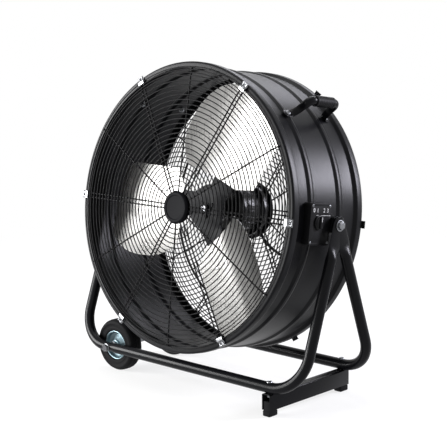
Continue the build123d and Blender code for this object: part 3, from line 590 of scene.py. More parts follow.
def squeezed(run, radius, flat, span, tongue, least):
    """Half widths along a tube whose ends are squeezed flat, with rounded tongues, and how
    far each point is squeezed."""
    sections, amounts = [], []
    for s in run:
        ends = min(s, run[-1] - s)
        amount = 1.0 - eased(ends, *span)
        wide, thin = (radius + (size - radius) * amount for size in flat)
        if ends < tongue:
            wide *= math.sqrt(max(least, 1 - ((tongue - ends) / tongue) ** 2))
        sections.append((wide, thin))
        amounts.append(amount)
    return sections, amounts


def box_mesh(name, low, high, place=LEVEL):
    verts = [(x, y, z) for x in (low[0], high[0]) for y in (low[1], high[1])
             for z in (low[2], high[2])]
    faces = [(0, 1, 3, 2), (4, 6, 7, 5), (0, 4, 5, 1), (2, 3, 7, 6), (0, 2, 6, 4), (1, 5, 7, 3)]
    return mesh_object(name, verts, faces, place)


def round_head(name, radius, height, place):
    """A pan head on the y = 0 plane that rises to -y, with a cross recess."""
    verts = []
    rings, spokes = 9, 32
    for ring in range(rings + 1):
        share = ring / rings
        for k in range(spokes):
            y = -height * math.sqrt(max(0.0, 1 - (share * 0.97) ** 2)) - height * 0.15
            x, _, z = on_circle(radius * share, math.tau * k / spokes, y)
            if min(abs(x), abs(z)) < radius * 0.14 and max(abs(x), abs(z)) < radius * 0.56:
                y += height * 0.55
            verts.append((x, 0.0 if ring == rings else y, z))
    faces = strips(rings + 1, spokes) + [row_face(rings, spokes)]
    return mesh_object(name, verts, faces, place)


def hexagon(name, across, height, place, bore=0.0, washer=0.0):
    """A hexagonal head or nut on the y = 0 plane that rises to -y, corners chamfered."""
    spokes = 48
    angles = [math.tau * k / spokes for k in range(spokes)]
    corner = [across / 2 / math.cos(math.remainder(a, math.tau / 6)) for a in angles]
    top = across * 0.475
    rows = []
    if washer:
        for r, y in ((washer, 0.0), (washer, -washer * 0.12), (across * 0.52, -washer * 0.2)):
            rows.append(([r] * spokes, y))
    rows += [(corner, 0.0), (corner, -height * 0.86), ([min(r, top) for r in corner], -height)]
    inner = bore or across * 0.2
    rows.append(([inner * 1.08] * spokes, -height))
    rows.append(([inner] * spokes, -height * (0.8 if bore else 1.0)))
    verts = [on_circle(r, a, y) for radii, y in rows for r, a in zip(radii, angles)]
    faces = strips(len(rows), spokes) + [row_face(len(rows) - 1, spokes), row_face(0, spokes)]
    return mesh_object(name, verts, faces, place)


def facing(direction, at, place=LEVEL):
    """A frame at a point whose -Y looks in a direction."""
    turn = Vector((0, -1, 0)).rotation_difference(Vector(direction)).to_matrix().to_4x4()
    return place @ Matrix.Translation(Vector(at)) @ turn


# Geometry Nodes


class Grower(Tree):
    """A geometry tree with named inputs that ends in Realize Instances and Set Material."""

    def __init__(self, name, inputs):
        self.tree = bpy.data.node_groups.new(name, "GeometryNodeTree")
        face = self.tree.interface
        face.new_socket(name="Geometry", in_out="OUTPUT", socket_type="NodeSocketGeometry")
        face.new_socket(name="Geometry", in_out="INPUT", socket_type="NodeSocketGeometry")
        for label, kind in inputs.items():
            face.new_socket(name=label, in_out="INPUT", socket_type="NodeSocket" + kind)
        face.new_socket(name="Finish", in_out="INPUT", socket_type="NodeSocketMaterial")
        self.given = self.tree.nodes.new("NodeGroupInput")
        self.result = self.tree.nodes.new("NodeGroupOutput")

    def value(self, label):
        return Term(self.tree, self.given.outputs[label])

    def index(self):
        return self.term("GeometryNodeInputIndex")

    def vector(self, x=0.0, y=0.0, z=0.0):
        return self.term("ShaderNodeCombineXYZ", X=x, Y=y, Z=z)

    def row_of_points(self, count):
        return self.term("GeometryNodeMeshLine", Count=count, Offset=(0.0, 0.0, 0.0))

    def copies(self, points, shape, **places):
        return self.term(
            "GeometryNodeInstanceOnPoints", Points=points, Instance=shape, **places)

    def real(self, shape):
        return self.term("GeometryNodeRealizeInstances", Geometry=shape)

    def finished(self, shape):
        real = self.real(shape)
        painted = self.node("GeometryNodeSetMaterial", Geometry=real, Material=self.value("Finish"))
        self.tree.links.new(painted.outputs[0], self.result.inputs[0])
        return self.tree


def grown(name, tree, values, material, start=None, place=LEVEL):
    """Runs a tree on an object (or an empty mesh) and keeps the result as plain mesh."""
    obj = start or mesh_object(name, [], [])
    obj.name = name
    modifier = obj.modifiers.new("grower", "NODES")
    modifier.node_group = tree
    for item in tree.interface.items_tree:
        if item.in_out == "INPUT" and item.name in values:
            modifier[item.identifier] = values[item.name]
        if item.in_out == "INPUT" and item.name == "Finish":
            modifier[item.identifier] = material
    obj = settled(obj)
    obj.data.transform(place)
    return obj


def guard_depth(g, shape, lift):
    """Moves wires to the guard's dished depth, as a rise along Z from the rim plane."""
    x, y, _ = g.parts(g.term("GeometryNodeInputPosition"))
    r = (x * x + y * y).power(0.5)
    foot, knee = g.value("Foot Radius"), g.value("Knee Radius")
    rise = g.value("Knee Drop") * ((foot - r) / (foot - knee)).clamped()
    rise = rise + g.value("Dish") * (1.0 - r / knee).most(0.0) + lift
    return g.term("GeometryNodeSetPosition", Geometry=shape, Offset=g.vector(z=rise))


def wire_from(g, curve, thickness, sides):
    """A round wire along a curve."""
    profile = g.term(
        "GeometryNodeCurvePrimitiveCircle", Resolution=sides, Radius=thickness * 0.5)
    return g.term("GeometryNodeCurveToMesh", Curve=curve, Profile_Curve=profile, Fill_Caps=True)


GUARD_INPUTS = {
    "Foot Radius": "Float", "Knee Radius": "Float", "Knee Drop": "Float", "Dish": "Float",
    "Wire": "Float", "Lift": "Float",
}


def ring_tree():
    """Concentric rings: an even field and a closer outer group."""
    g = Grower("Guard Rings", {
        **GUARD_INPUTS, "First Radius": "Float", "Pitch": "Float", "Field Count": "Int",
        "Outer Pitch": "Float", "Outer Count": "Int",
    })
    last = g.value("Field Count") - 1.0
    index = g.index()
    radius = g.value("First Radius") + g.value("Pitch") * index.least(last)
    radius = radius + g.value("Outer Pitch") * (index - last).most(0.0)
    points = g.row_of_points(g.value("Field Count") + g.value("Outer Count"))
    circle = g.term("GeometryNodeCurvePrimitiveCircle", Resolution=144, Radius=1.0)
    rings = g.real(g.copies(points, circle, Scale=g.vector(radius, radius, 1.0)))
    placed = guard_depth(g, rings, g.value("Lift"))
    return g.finished(wire_from(g, placed, g.value("Wire"), 8))


def spoke_tree():
    """Spokes in pairs, with single ones between the pairs."""
    g = Grower("Guard Spokes", {
        **GUARD_INPUTS, "Inner Radius": "Float", "Pair Radius": "Float", "Single Radius": "Float",
        "Pair Gap": "Float", "Pairs": "Int",
    })
    step = math.tau / g.value("Pairs")
    join = g.node("GeometryNodeJoinGeometry")

    def fan_out(reach, shift, offset):
        line = g.term(
            "GeometryNodeCurvePrimitiveLine",
            Start=g.vector(g.value("Inner Radius"), shift), End=g.vector(reach, shift),
        )
        line = g.term("GeometryNodeResampleCurve", Curve=line, Count=44)
        turn = g.vector(z=(g.index() + offset) * step)
        copies = g.copies(g.row_of_points(g.value("Pairs")), line, Rotation=turn)
        g.tree.links.new(g.real(copies).socket, join.inputs[0])

    half = g.value("Pair Gap") * 0.5
    fan_out(g.value("Pair Radius"), half, 0.0)
    fan_out(g.value("Pair Radius"), half * -1.0, 0.0)
    fan_out(g.value("Single Radius"), 0.0, 0.5)
    placed = guard_depth(g, Term(g.tree, join.outputs[0]), g.value("Lift"))
    return g.finished(wire_from(g, placed, g.value("Wire"), 12))


def wheel_of_copies_tree():
    """Copies of the incoming shape round Y, seen from the front anticlockwise."""
    g = Grower("Copies Round The Axis", {"Count": "Int", "First Angle": "Float"})
    step = -math.tau / g.value("Count")
    turn = g.vector(y=g.index() * step - g.value("First Angle"))
    points = g.row_of_points(g.value("Count"))
    copies = g.copies(points, g.value("Geometry"), Rotation=turn)
    return g.finished(copies)


TREES = {}


def make_trees():
    TREES["rings"] = ring_tree()
    TREES["spokes"] = spoke_tree()
    TREES["around"] = wheel_of_copies_tree()


def around(name, shape, count, first_degrees, slot, place=DRUM):
    """One shape, drawn at the right-hand side, repeated round the drum's axis."""
    values = {"Count": count, "First Angle": math.radians(first_degrees)}
    return grown(name, TREES["around"], values, FINISHES[slot], shape, place)


# The pieces

FRONT_GUARD = DRUM @ Matrix(((1, 0, 0, 0), (0, 0, -1, -HALF_DEPTH), (0, 1, 0, 0), (0, 0, 0, 1)))
REAR_GUARD = DRUM @ Matrix(((-1, 0, 0, 0), (0, 0, 1, HALF_DEPTH), (0, 1, 0, 0), (0, 0, 0, 1)))
KNEE_RADIUS = 0.296
FOOT_RADIUS = 0.3245
KNEE_DROP = 0.004
SPOKE_REST = 0.0018


def make_drum(sizes):
    """The rolled sheet with its collars, beads and turned-in flanges."""
    front, rear = -HALF_DEPTH, HALF_DEPTH
    rim, back_rim = sizes.rim_radius, sizes.rear_rim_radius
    crest = SHELL_R + sizes.bead_rise
    line = [(FLANGE_R, front), (rim, front), (rim, front + COLLAR)]
    line.append((SHELL_R, front + COLLAR + STEP))
    for bead in BEAD_PLACES:
        line += [(SHELL_R, bead - BEAD_FOOT), (crest, bead - BEAD_TOP)]
        line += [(crest, bead + BEAD_TOP), (SHELL_R, bead + BEAD_FOOT)]
    line += [(SHELL_R, rear - COLLAR - STEP), (back_rim, rear - COLLAR)]
    line += [(back_rim, rear), (FLANGE_R, rear)]
    outer = rounded(line, 0.0045, 5)
    drum = turned("drum", sheet_profile(outer, sizes.sheet), DRUM, 224, closed=True)
    return done(drum, "drum", "powder_black", "drum_shell")


def make_guard(sizes, side):
    """Rings and spokes; the front has a disc at its middle, the rear the motor's ring."""
    place = FRONT_GUARD if side == "front" else REAR_GUARD
    shared = {
        "Foot Radius": FOOT_RADIUS, "Knee Radius": KNEE_RADIUS, "Knee Drop": KNEE_DROP,
        "Dish": sizes.guard_dish,
    }
    rings = grown(side + "_rings", TREES["rings"], {
        **shared, "Wire": sizes.ring_wire,
        "Lift": SPOKE_REST + sizes.spoke_wire / 2 + sizes.ring_wire / 2 - 0.0002,
        "First Radius": sizes.first_ring, "Pitch": sizes.ring_pitch,
        "Field Count": sizes.ring_count, "Outer Pitch": sizes.outer_pitch,
        "Outer Count": sizes.outer_count,
    }, FINISHES["guard_wire"], place=place)
    last_ring = sizes.first_ring + sizes.ring_pitch * (sizes.ring_count - 1)
    last_ring += sizes.outer_pitch * sizes.outer_count
    spokes = grown(side + "_spokes", TREES["spokes"], {
        **shared, "Wire": sizes.spoke_wire, "Lift": SPOKE_REST, "Inner Radius": 0.030,
        "Pair Radius": 0.331, "Single Radius": last_ring, "Pair Gap": 0.010, "Pairs": 6,
    }, FINISHES["guard_wire"], place=place)
    if side == "front":
        edge = [(0, -0.1316), (0.035, -0.1316), (0.036, -0.1307), (0.035, -0.1298), (0, -0.1298)]
        spokes = joined("front_spokes", [spokes, turned("disc", edge, DRUM)])
    else:
        turns = [math.tau * k / 12 for k in range(12)]
        heavy = [(0.255 + 0.0024 * math.cos(a), 0.1265 + 0.0024 * math.sin(a)) for a in turns]
        ring = turned("mount", heavy, DRUM, 144, closed=True)
        rings = joined("rear_rings", [rings, ring])
    done(rings, "drum", "guard_wire", side + "_guard_rings", sharp=80)
    done(spokes, "drum", "guard_wire", side + "_guard_spokes", sharp=50)


def make_badge():
    """The round cap: a flat face in a shallow channel, a rolled edge."""
    low, face = -0.1389, -0.1443
    line = [(0, face), (0.027, face), (0.0285, face - 0.0015), (0.0335, face - 0.0015),
            (0.036, face + 0.0002), (0.038, face + 0.0032), (0.038, low), (0.0365, low)]
    badge = turned("badge", rounded(line, 0.0012, 3) + [(0, low)], DRUM, 96)
    return done(badge, "drum", "badge_lacquer", "guard_badge")


def clip_sheet(rim):
    """A pressed clip: flat over the outer rings, humped over two spokes, folded over the rim."""
    line = [(rim - 0.0175, -0.0026), (rim - 0.0110, -0.0026), (rim - 0.0060, 0.0),
            (rim + 0.0011, 0.0), (rim + 0.0011, 0.0032)]
    line = dense(rounded(line, 0.0018, 5), 0.0022)
    run = lengths(line)
    verts, columns, half_width = [], 21, 0.0084
    for point, s in zip(line, run):
        hold = eased(s, 0.0065, 0.0105) * (1.0 - eased(s, 0.0155, 0.0190))
        for j in range(columns):
            t = -half_width + 2 * half_width * j / (columns - 1)
            hump = 0.0030 * (1 - math.exp(-((abs(t) - 0.005) / 0.0026) ** 2)) * hold
            verts.append((point.x, -HALF_DEPTH - 0.0046 + point.y + hump, t))
    clip = mesh_object("clip", verts, strips(len(line), columns, closed=False))
    wall = clip.modifiers.new("sheet", "SOLIDIFY")
    wall.thickness = 0.0011
    wall.offset = 0.0
    return bevelled(clip, 0.0003, 2, 50)


def make_clips(side, rim):
    """Six clips and their screws; the rear ones are coated with the drum."""
    mirror = LEVEL if side == "front" else Matrix.Rotation(math.pi, 4, "Z")
    slot = "zinc_clip" if side == "front" else "stand_black"
    clips = around(side + "_clips", clip_sheet(rim), 6, 0.0, slot, DRUM @ mirror)
    done(clips, "drum", slot, side + "_guard_clips", sharp=60)
    seat = Matrix.Translation((rim - 0.0055, -HALF_DEPTH - 0.0020, 0))
    head = round_head("screw", 0.0040, 0.0026, seat)
    screws = around(side + "_screws", head, 6, 0.0, "zinc_fastener", DRUM @ mirror)
    done(screws, "drum", "zinc_fastener", side + "_clip_screws")


def round_drum(angle):
    """The drum's frame turned so that its X points at an angle above the right side."""
    return DRUM @ Matrix.Rotation(-math.radians(angle), 4, "Y")


def make_handle(sizes, name):
    """The carrying tube, squeezed flat at both feet."""
    rear = SHELL_R + FOOT_SHEET / 2
    front = rear + sizes.bead_rise
    bar = HANDLE_BAR_R
    corners = [(-0.0695, front), (-0.040, front), (-0.0305, 0.345), (-0.0185, bar),
               (0.0765, bar), (0.0705, 0.345), (0.0725, rear + 0.002), (0.0800, rear),
               (0.0955, rear)]
    path = dense(rounded([(rho, y, 0) for y, rho in corners], 0.013, 8), 0.003)
    flat = (0.0095, FOOT_SHEET / 2)
    sections, _ = squeezed(lengths(path), sizes.handle_tube, flat, (0.046, 0.074), 0.013, 0.02)
    place = round_drum(HANDLES[name])
    tube = swept(name + "_tube", path, sections, Vector((0, 0, 1)), place, 32)
    done(tube, "drum", "stand_black", name, sharp=60)


def make_grips(sizes):
    """Ribbed sleeves on the straight part of both handles."""
    r, low, high = sizes.handle_tube, -0.006, 0.058
    ribs, border = 9, 0.006
    crest, groove = r + 0.0027, r + 0.0019
    line = [(r, low), (r + 0.0018, low), (crest, low + 0.0016)]
    pitch = (high - low - 2 * border) / ribs
    for k in range(ribs):
        start = low + border + k * pitch
        line += [(crest, start), (groove, start + pitch * 0.25), (crest, start + pitch * 0.5)]
    line += [(crest, high - 0.0016), (r + 0.0018, high), (r, high)]
    sleeves = []
    for angle in HANDLES.values():
        place = round_drum(angle) @ Matrix.Translation((HANDLE_BAR_R, 0, 0))
        sleeves.append(turned("sleeve", line, place, 48, closed=True))
    done(joined("handle_grips", sleeves), "drum", "black_moulding", sharp=60)


def make_handle_bolts(sizes):
    """Domed bolts on the handles' feet, with a nut and a thread end inside the drum."""
    heads = []
    for angle in HANDLES.values():
        turn = round_drum(angle)
        for y, face in ((-0.054, SHELL_R + sizes.bead_rise), (0.080, SHELL_R)):
            at = facing((1, 0, 0), (face + FOOT_SHEET, y, 0), turn)
            heads.append(round_head("bolt", 0.0062, 0.0033, at))
            inner = face - sizes.sheet - 0.0008
            at = facing((-1, 0, 0), (inner, y, 0), turn)
            heads.append(hexagon("nut", 0.010, 0.0054, at, washer=0.0075))
            at = facing((-1, 0, 0), (inner - 0.0054, y, 0), turn)
            heads.append(thread_end("stub", 0.0030, -0.0020, 0.004, (0.0006, 0.0008), at, 24))
    done(joined("handle_fixings", heads), "drum", "zinc_fastener", "handle_bolts")


def make_pivots():
    """Cups, nuts, bolts and washers of the two tilting joints, drawn where the tubes end."""
    dressed("pivot_spacers", "pivot_cups", 0.0008, "drum", "stand_black")

    def at(side, x, look):
        return facing((side * look, 0, 0), (side * x, PIVOT_IN_DRUM.y, 0), DRUM)

    nuts = [hexagon("nut", 0.017, 0.006, at(side, 0.3634, 1)) for side in (1, -1)]
    done(joined("pivot_lock_nuts", nuts), "drum", "zinc_fastener", "pivot_nuts")
    bolts = []
    for side in (1, -1):
        place = at(side, 0.3628, 1)
        bolts.append(thread_end("shank", 0.0060, -0.0042, 0.042, (0.0008, 0.0008), place, 32))
        bolts.append(hexagon("head", 0.019, 0.007, at(side, 0.3203, -1)))
    done(joined("pivot_shanks", bolts), "drum", "zinc_fastener", "pivot_bolts")
    dressed("pivot_washers", "pivot_plates", 0.0003, "drum", "zinc_fastener")


def digit(text, place):
    """One printed digit as flat mesh."""
    curve = bpy.data.curves.new("digit", "FONT")
    curve.body = text
    curve.size = 0.0125
    curve.align_x, curve.align_y = "CENTER", "CENTER"
    source = linked("digit", curve)
    bpy.context.view_layer.update()
    mesh = bpy.data.meshes.new_from_object(source)
    bpy.data.objects.remove(source)
    mesh.transform(place @ Matrix(((0, 0, 1, 0), (1, 0, 0, 0), (0, 1, 0, 0), (0, 0, 0, 1))))
    return linked("digit", mesh)


def make_control_box():
    """The box, its cover and screws, and the marks printed above the knob."""
    dressed("switch_box", "control_box", 0.0008, "drum", "black_moulding")
    dressed("switch_plate", "control_cover", 0.0005, "drum", "black_moulding")
    x = COVER_FACE
    heads = [round_head("screw", 0.0030, 0.0013, facing((1, 0, 0), (x, y, z), DRUM))
             for y in (-0.070, -0.012) for z in (-0.040, 0.040)]
    done(joined("cover_screws", heads), "drum", "zinc_fastener", "plate_screws")
    marks = [box_mesh("line", (x, -0.056, 0.0190), (x + 0.0001, -0.008, 0.0198), DRUM)]
    for k, across in enumerate((-0.065, -0.053, -0.031, -0.019)):
        marks.append(digit(str(k), DRUM @ Matrix.Translation((x + 0.00012, across, 0.0300))))
    done(joined("dial_marks", marks), "drum", "dial_print")


def make_knob():
    """A skirted knob with a bar across it and a white pointer."""
    skirt = [(0, -0.0053), (0.0118, -0.0053), (0.0128, -0.0046), (0.0133, -0.0036),
             (0.0153, -0.0033), (0.0160, -0.0026), (0.0160, 0), (0.0030, 0), (0.0030, 0.0114),
             (0, 0.0114)]
    body = turned("knob", skirt, facing((1, 0, 0), KNOB_AT, DRUM), 64)
    place = DRUM @ Matrix.Translation(KNOB_AT)
    bar = box_mesh("bar", (0.0034, -0.004, -0.0132), (0.0089, 0.004, 0.0132), place)
    bevelled(bar, 0.0016, 3)
    done(joined("speed_dial", [body, bar]), "knob", "knob_moulding", "speed_knob")
    line = box_mesh("line", (0.00885, -0.0006, 0.002), (0.00896, 0.0006, 0.0115), place)
    line.name = "dial_pointer"
    done(line, "knob", "dial_print")


def make_motor():
    """End bells with soft edges, ribs on the stack, the mounting plate and its bolts."""
    bell = [(0.008, 0.018), (0.028, 0.018), (0.046, 0.024), (0.057, 0.032), (0.057, 0.045),
            (0.053, 0.045), (0.053, 0.035), (0.044, 0.028), (0.024, 0.023), (0.024, 0.032),
            (0.016, 0.032), (0.016, 0.021), (0.008, 0.021), (0.008, 0.018)]
    front = turned("bell", rounded(bell, 0.003, 4), DRUM, 96)
    bar = box_mesh("rib", (0.024, 0.0165, -0.0017), (0.0555, 0.0330, 0.0017))
    for vert in bar.data.vertices:
        if vert.co.y < 0.02 and vert.co.x > 0.05:
            vert.co.y = 0.0285
    bevelled(bar, 0.0008, 2)
    ribs = around("ribs", bar, 8, 22.5, "motor_black")
    done(joined("front_bell", [front, ribs]), "drum", "motor_black", "motor_front_bell")
    dressed("motor_rear_bell", "rear_bell", 0.0012, "drum", "motor_black")
    dressed("stator_core", "ribbed_stack", 0.0004, "drum", "motor_black")
    dressed("motor_plate", "motor_mount", 0.0006, "drum", "powder_black")
    heads = hexagon("head", 0.009, 0.004, facing((0, 1, 0), (0.058, 0.119, 0)), washer=0.0062)
    screws = around("mount_screws", heads, 4, 45.0, "zinc_fastener")
    done(screws, "drum", "zinc_fastener", "motor_plate_bolts")
    dressed("capacitor", "run_capacitor", 0.0015, "drum", "capacitor_shell")
    dressed("capacitor_bracket", "capacitor_strap", 0.0003, "drum", "zinc_clip")


def make_fan_wheel():
    """Blades, hub plate with arms, rivets, and the nut and screws on the hub."""
    dressed("fan_blades", "blades", 0.0005, "fan", "blade_aluminium", 50, 12)
    dressed("fan_hub", "spider", 0.0007, "fan", "hub_steel", 50, 30)
    dressed("blade_rivets", "rivets", 0.0008, "fan", "rivet_aluminium", 40)
    front = -0.043 + 0.027 * math.tan(math.radians(9.0))
    sheet = 0.0020
    seat = facing((0, -1, 0), (0, front - sheet, 0), DRUM)
    nut = hexagon("nut", 0.019, 0.006, seat, bore=0.0058)
    edge = [(0.006, front), (0.013, front), (0.013, front - sheet), (0.006, front - sheet)]
    washer = turned("washer", edge + edge[:1], DRUM, 48)
    low = front - 0.0108
    shaft_end = thread_end("tip", 0.0058, low, front, (0.0008, 0.0010), DRUM, 32)
    seat = facing((0, -1, 0), (0.019, front, 0))
    screws = around("screws", hexagon("screw", 0.009, 0.0035, seat, bore=0.0022),
                    3, 30.0, "zinc_fastener")
    fixings = joined("hub_fixings", [nut, washer, shaft_end, screws])
    done(fixings, "fan", "hub_steel", "hub_fasteners")


def make_stand_tube(sizes, name, side):
    """One bent tube with its upper ends squeezed flat at the pivots, moved apart by half
    their thickness, and a small pinch where the axle passes."""
    rise = PIVOT.z - WHEEL_R
    foot = Matrix.Translation((0, PIVOT.y + side * TUBE_OFF, WHEEL_R))
    place = foot @ Matrix.Rotation(side * math.atan2(TUBE_OFF, rise), 4, "X")
    eye, half_sheet = 0.020, 0.002
    top = math.hypot(rise, TUBE_OFF) + eye
    corners = [(-LEG_X, 0, top), (-LEG_X, 0, 0), (LEG_X, 0, 0), (LEG_X, 0, top)]
    path = dense(rounded(corners, sizes.stand_bend, 18), 0.004)
    sections, amounts = squeezed(
        lengths(path), sizes.stand_tube, (eye, half_sheet), (0.066, 0.098), eye, 0.015)
    for k, point in enumerate(path):
        if point.z < 0.001:
            pinch = math.exp(-((point.x - WHEEL_X) / 0.019) ** 2)
            wide, thin = sections[k]
            sections[k] = (wide - pinch * 0.0006, thin - pinch * 0.0028)
    shifts = [math.copysign(half_sheet * amount, p.x) for p, amount in zip(path, amounts)]
    moved = [point + Vector((shift, 0, 0)) for point, shift in zip(path, shifts)]
    tube = swept(name + "_bent", moved, sections, Vector((0, 1, 0)), place, 36)
    done(tube, "stand", "stand_black", name, sharp=60)


def make_foot():
    """The channel, its rubber pads and the bolts through the tubes."""
    dressed("foot_channel", "foot_rail", 0.0006, "stand", "stand_black")
    dressed("rubber_feet", "foot_pads", 0.0012, "stand", "foot_rubber")
    parts = []
    for side in (-1, 1):
        y = PIVOT.y + side * TUBE_OFF
        above = facing((0, 0, 1), (FOOT_X, y, 0.0764))
        below = facing((0, 0, -1), (FOOT_X, y, 0.0495))
        parts.append(round_head("head", 0.0066, 0.0035, above))
        parts.append(hexagon("nut", 0.0128, 0.0065, below, washer=0.008))
        parts.append(thread_end("stub", 0.004, -0.0085, 0.030, (0.0005, 0.0007), below, 24))
    done(joined("foot_fixings", parts), "stand", "zinc_fastener", "foot_bolts")


# Half sections from the outside inwards, mirrored about the wheel's middle
TYRE_HALF = (
    (0.0355, 0.014), (0.0385, 0.0175), (0.0445, 0.0180), (0.0455, 0.0172), (0.0515, 0.0176),
    (0.0525, 0.0189), (0.0560, 0.0190), (0.0600, 0.0166), (0.0632, 0.0112), (0.0640, 0.0060),
    (0.0640, 0.0048), (0.0626, 0.0044), (0.0626, 0.0030), (0.0640, 0.0026),
)
RIM_HALF = (
    (0.0355, 0.014), (0.0362, 0.0155), (0.0340, 0.0160), (0.0325, 0.0140), (0.0305, 0.0062),
    (0.0240, 0.0022), (0.0170, 0.0080), (0.0135, 0.0110), (0.0125, 0.0166), (0.0085, 0.0166),
)


def make_wheel(side):
    """Tyre, pressed rim and bush."""
    name = "front" if side < 0 else "rear"
    body = name + "_wheel"
    place = Matrix.Translation((WHEEL_X, PIVOT.y + side * WHEEL_OFF, WHEEL_R))

    def both_sides(half):
        return [*half, *((r, -y) for r, y in reversed(half))]

    line = rounded(both_sides(TYRE_HALF), 0.0012, 3)
    done(turned("tyre", line, place, 112), body, "tyre_rubber", name + "_tyre", sharp=50)
    line = rounded(both_sides(RIM_HALF) + [RIM_HALF[0]], 0.0015, 4)
    done(turned("rim", line, place, 96), body, "rim_zinc", name + "_wheel_rim", sharp=50)
    dressed(name + "_wheel_bush", name + "_bush", 0.0003, body, "bush_plastic")


def make_axle():
    """The rod with its thread ends, the nuts and the spacers beside the wheels."""
    nuts, caps = [], []
    for side in (-1, 1):
        seat = PIVOT.y + side * (TUBE_OFF + 0.0125 - 0.0010)
        at = facing((0, side, 0), (WHEEL_X, seat, WHEEL_R))
        nuts.append(hexagon("nut", 0.0160, 0.0080, at, bore=0.0061, washer=0.0100))
        caps.append(thread_end("tip", 0.0059, -0.0080, 0.030, (0.0009, 0.0010), at, 32))
    done(joined("axle_lock_nuts", nuts), "stand", "zinc_fastener", "axle_nuts")
    line = [(0, -0.110), (0.006, -0.110), (0.006, 0.110), (0, 0.110)]
    rod = turned("rod", line, Matrix.Translation((WHEEL_X, PIVOT.y, WHEEL_R)), 32)
    done(joined("axle_rod", [rod] + caps), "stand", "bearing_steel", "wheel_axle")
    dressed("axle_spacers", "axle_tubes", 0.0004, "stand", "zinc_fastener")


LEAD_ROUTE = (
    (0.046, 0.100, -0.046), (0.064, 0.101, -0.066), (0.096, 0.099, -0.086),
    (0.140, 0.094, -0.099), (0.190, 0.084, -0.103), (0.236, 0.064, -0.096),
    (0.264, 0.038, -0.076), (0.280, 0.008, -0.048), (0.292, -0.012, -0.028),
    (0.310, -0.015, -0.024), (0.329, -0.015, -0.024),
)


def make_lead():
    """The motor's lead on one smooth curve to the control box."""
    curve = bpy.data.curves.new("lead", "CURVE")
    curve.dimensions = "3D"
    curve.bevel_depth = 0.0035
    curve.bevel_resolution = 3
    curve.use_fill_caps = True
    spline = curve.splines.new("NURBS")
    spline.points.add(len(LEAD_ROUTE) - 1)
    route = [DRUM @ Vector(p) for p in LEAD_ROUTE]
    for point, at in zip(spline.points, route):
        point.co = (*at, 1.0)
    spline.order_u = 3
    spline.use_endpoint_u = True
    spline.resolution_u = 10
    lead = linked("motor_cable", curve)
    curve.materials.append(FINISHES["lead_sheath"])
    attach(lead, "drum")
    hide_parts("motor_lead")


PLAIN_NODES = {
    "cable_gland": "lead_sheath", "rotary_switch": "black_moulding",
    "stator_windings": "winding_copper", "motor_bearings": "bearing_steel",
    "motor_shaft": "bearing_steel", "rotor_core": "lamination_steel",
}


def finish_plain_nodes():
    """The CAD nodes that keep their own shape get their finish."""
    for node, slot in PLAIN_NODES.items():
        mesh = nodes[node].data
        mesh.materials.clear()
        mesh.materials.append(FINISHES[slot])


# Stage


def lamp(name, at, target, size, power, colour=(1.0, 1.0, 1.0)):
    light = bpy.data.lights.new(name, "AREA")
    light.shape = "RECTANGLE"
    light.size, light.size_y = size
    light.energy = power
    light.color = colour
    aim = (Vector(target) - Vector(at)).to_track_quat("-Z", "Y")
    linked(name, light).matrix_world = Matrix.Translation(at) @ aim.to_matrix().to_4x4()


def make_lamps():
    lamp("overhead", (-0.3, 0.1, 2.9), (0, 0, 0.4), (2.0, 1.6), 30)
    lamp("right_rear", (2.1, 2.4, 1.5), (0, 0, 0.5), (0.8, 1.2), 160, (0.90, 0.89, 1.0))
    lamp("top_rear", (-1.0, 2.3, 2.1), (0, 0, 0.6), (1.5, 0.4), 14, (0.90, 0.90, 1.0))
    lamp("front_left", (-1.4, -3.0, 0.70), (0, 0, 0.5), (0.8, 0.9), 74)
    lamp("left", (-2.0, -1.7, 0.75), (0, 0, 0.35), (0.8, 1.4), 112)


def make_world():
    """White for every ray that is seen or mirrored, dimmer as light."""
    bpy.context.scene.view_settings.view_transform = "Standard"
    world = bpy.data.worlds.new("studio")
    bpy.context.scene.world = world
    world.use_nodes = True
    tree = world.node_tree
    tree.nodes.clear()
    path = tree.nodes.new("ShaderNodeLightPath")
    seen = Term(tree, path.outputs["Is Camera Ray"])
    seen = seen.most(Term(tree, path.outputs["Is Transmission Ray"]))
    seen = seen.most(Term(tree, path.outputs["Is Glossy Ray"]))
    strength = seen.most(0.42)
    shade = tree.nodes.new("ShaderNodeBackground")
    shade.inputs["Color"].default_value = (1.0, 1.0, 1.0, 1.0)
    tree.links.new(strength.socket, shade.inputs["Strength"])
    out = tree.nodes.new("ShaderNodeOutputWorld")
    tree.links.new(shade.outputs[0], out.inputs["Surface"])


def make_floor():
    """A white floor that keeps a soft shadow and glows plain white further away."""
    floor = mesh_object("floor", [(-9, -9, 0), (9, -9, 0), (9, 9, 0), (-9, 9, 0)], [(0, 1, 2, 3)],
                        Matrix.Translation((0, 0, -0.0004)))
    finish = Finish("pale_floor", (0.93, 0.93, 0.93), roughness=0.8, Specular_IOR_Level=0.0)
    finish.tint(finish.noise(3.0, 3.0), 0.995, 1.005)
    x, y, _ = finish.axis_values()
    away = ((x * x + y * y).power(0.5) - 0.9) / 1.2
    glow = finish.node("ShaderNodeEmission", Color=(1.0, 1.0, 1.0, 1.0), Strength=1.0)
    mix = finish.node("ShaderNodeMixShader", Fac=away.clamped() * 0.28 + 0.72)
    finish.tree.links.new(finish.shader.outputs[0], mix.inputs[1])
    finish.tree.links.new(glow.outputs[0], mix.inputs[2])
    finish.tree.links.new(mix.outputs[0], finish.tree.nodes["Material Output"].inputs["Surface"])
    floor.data.materials.append(finish.material)


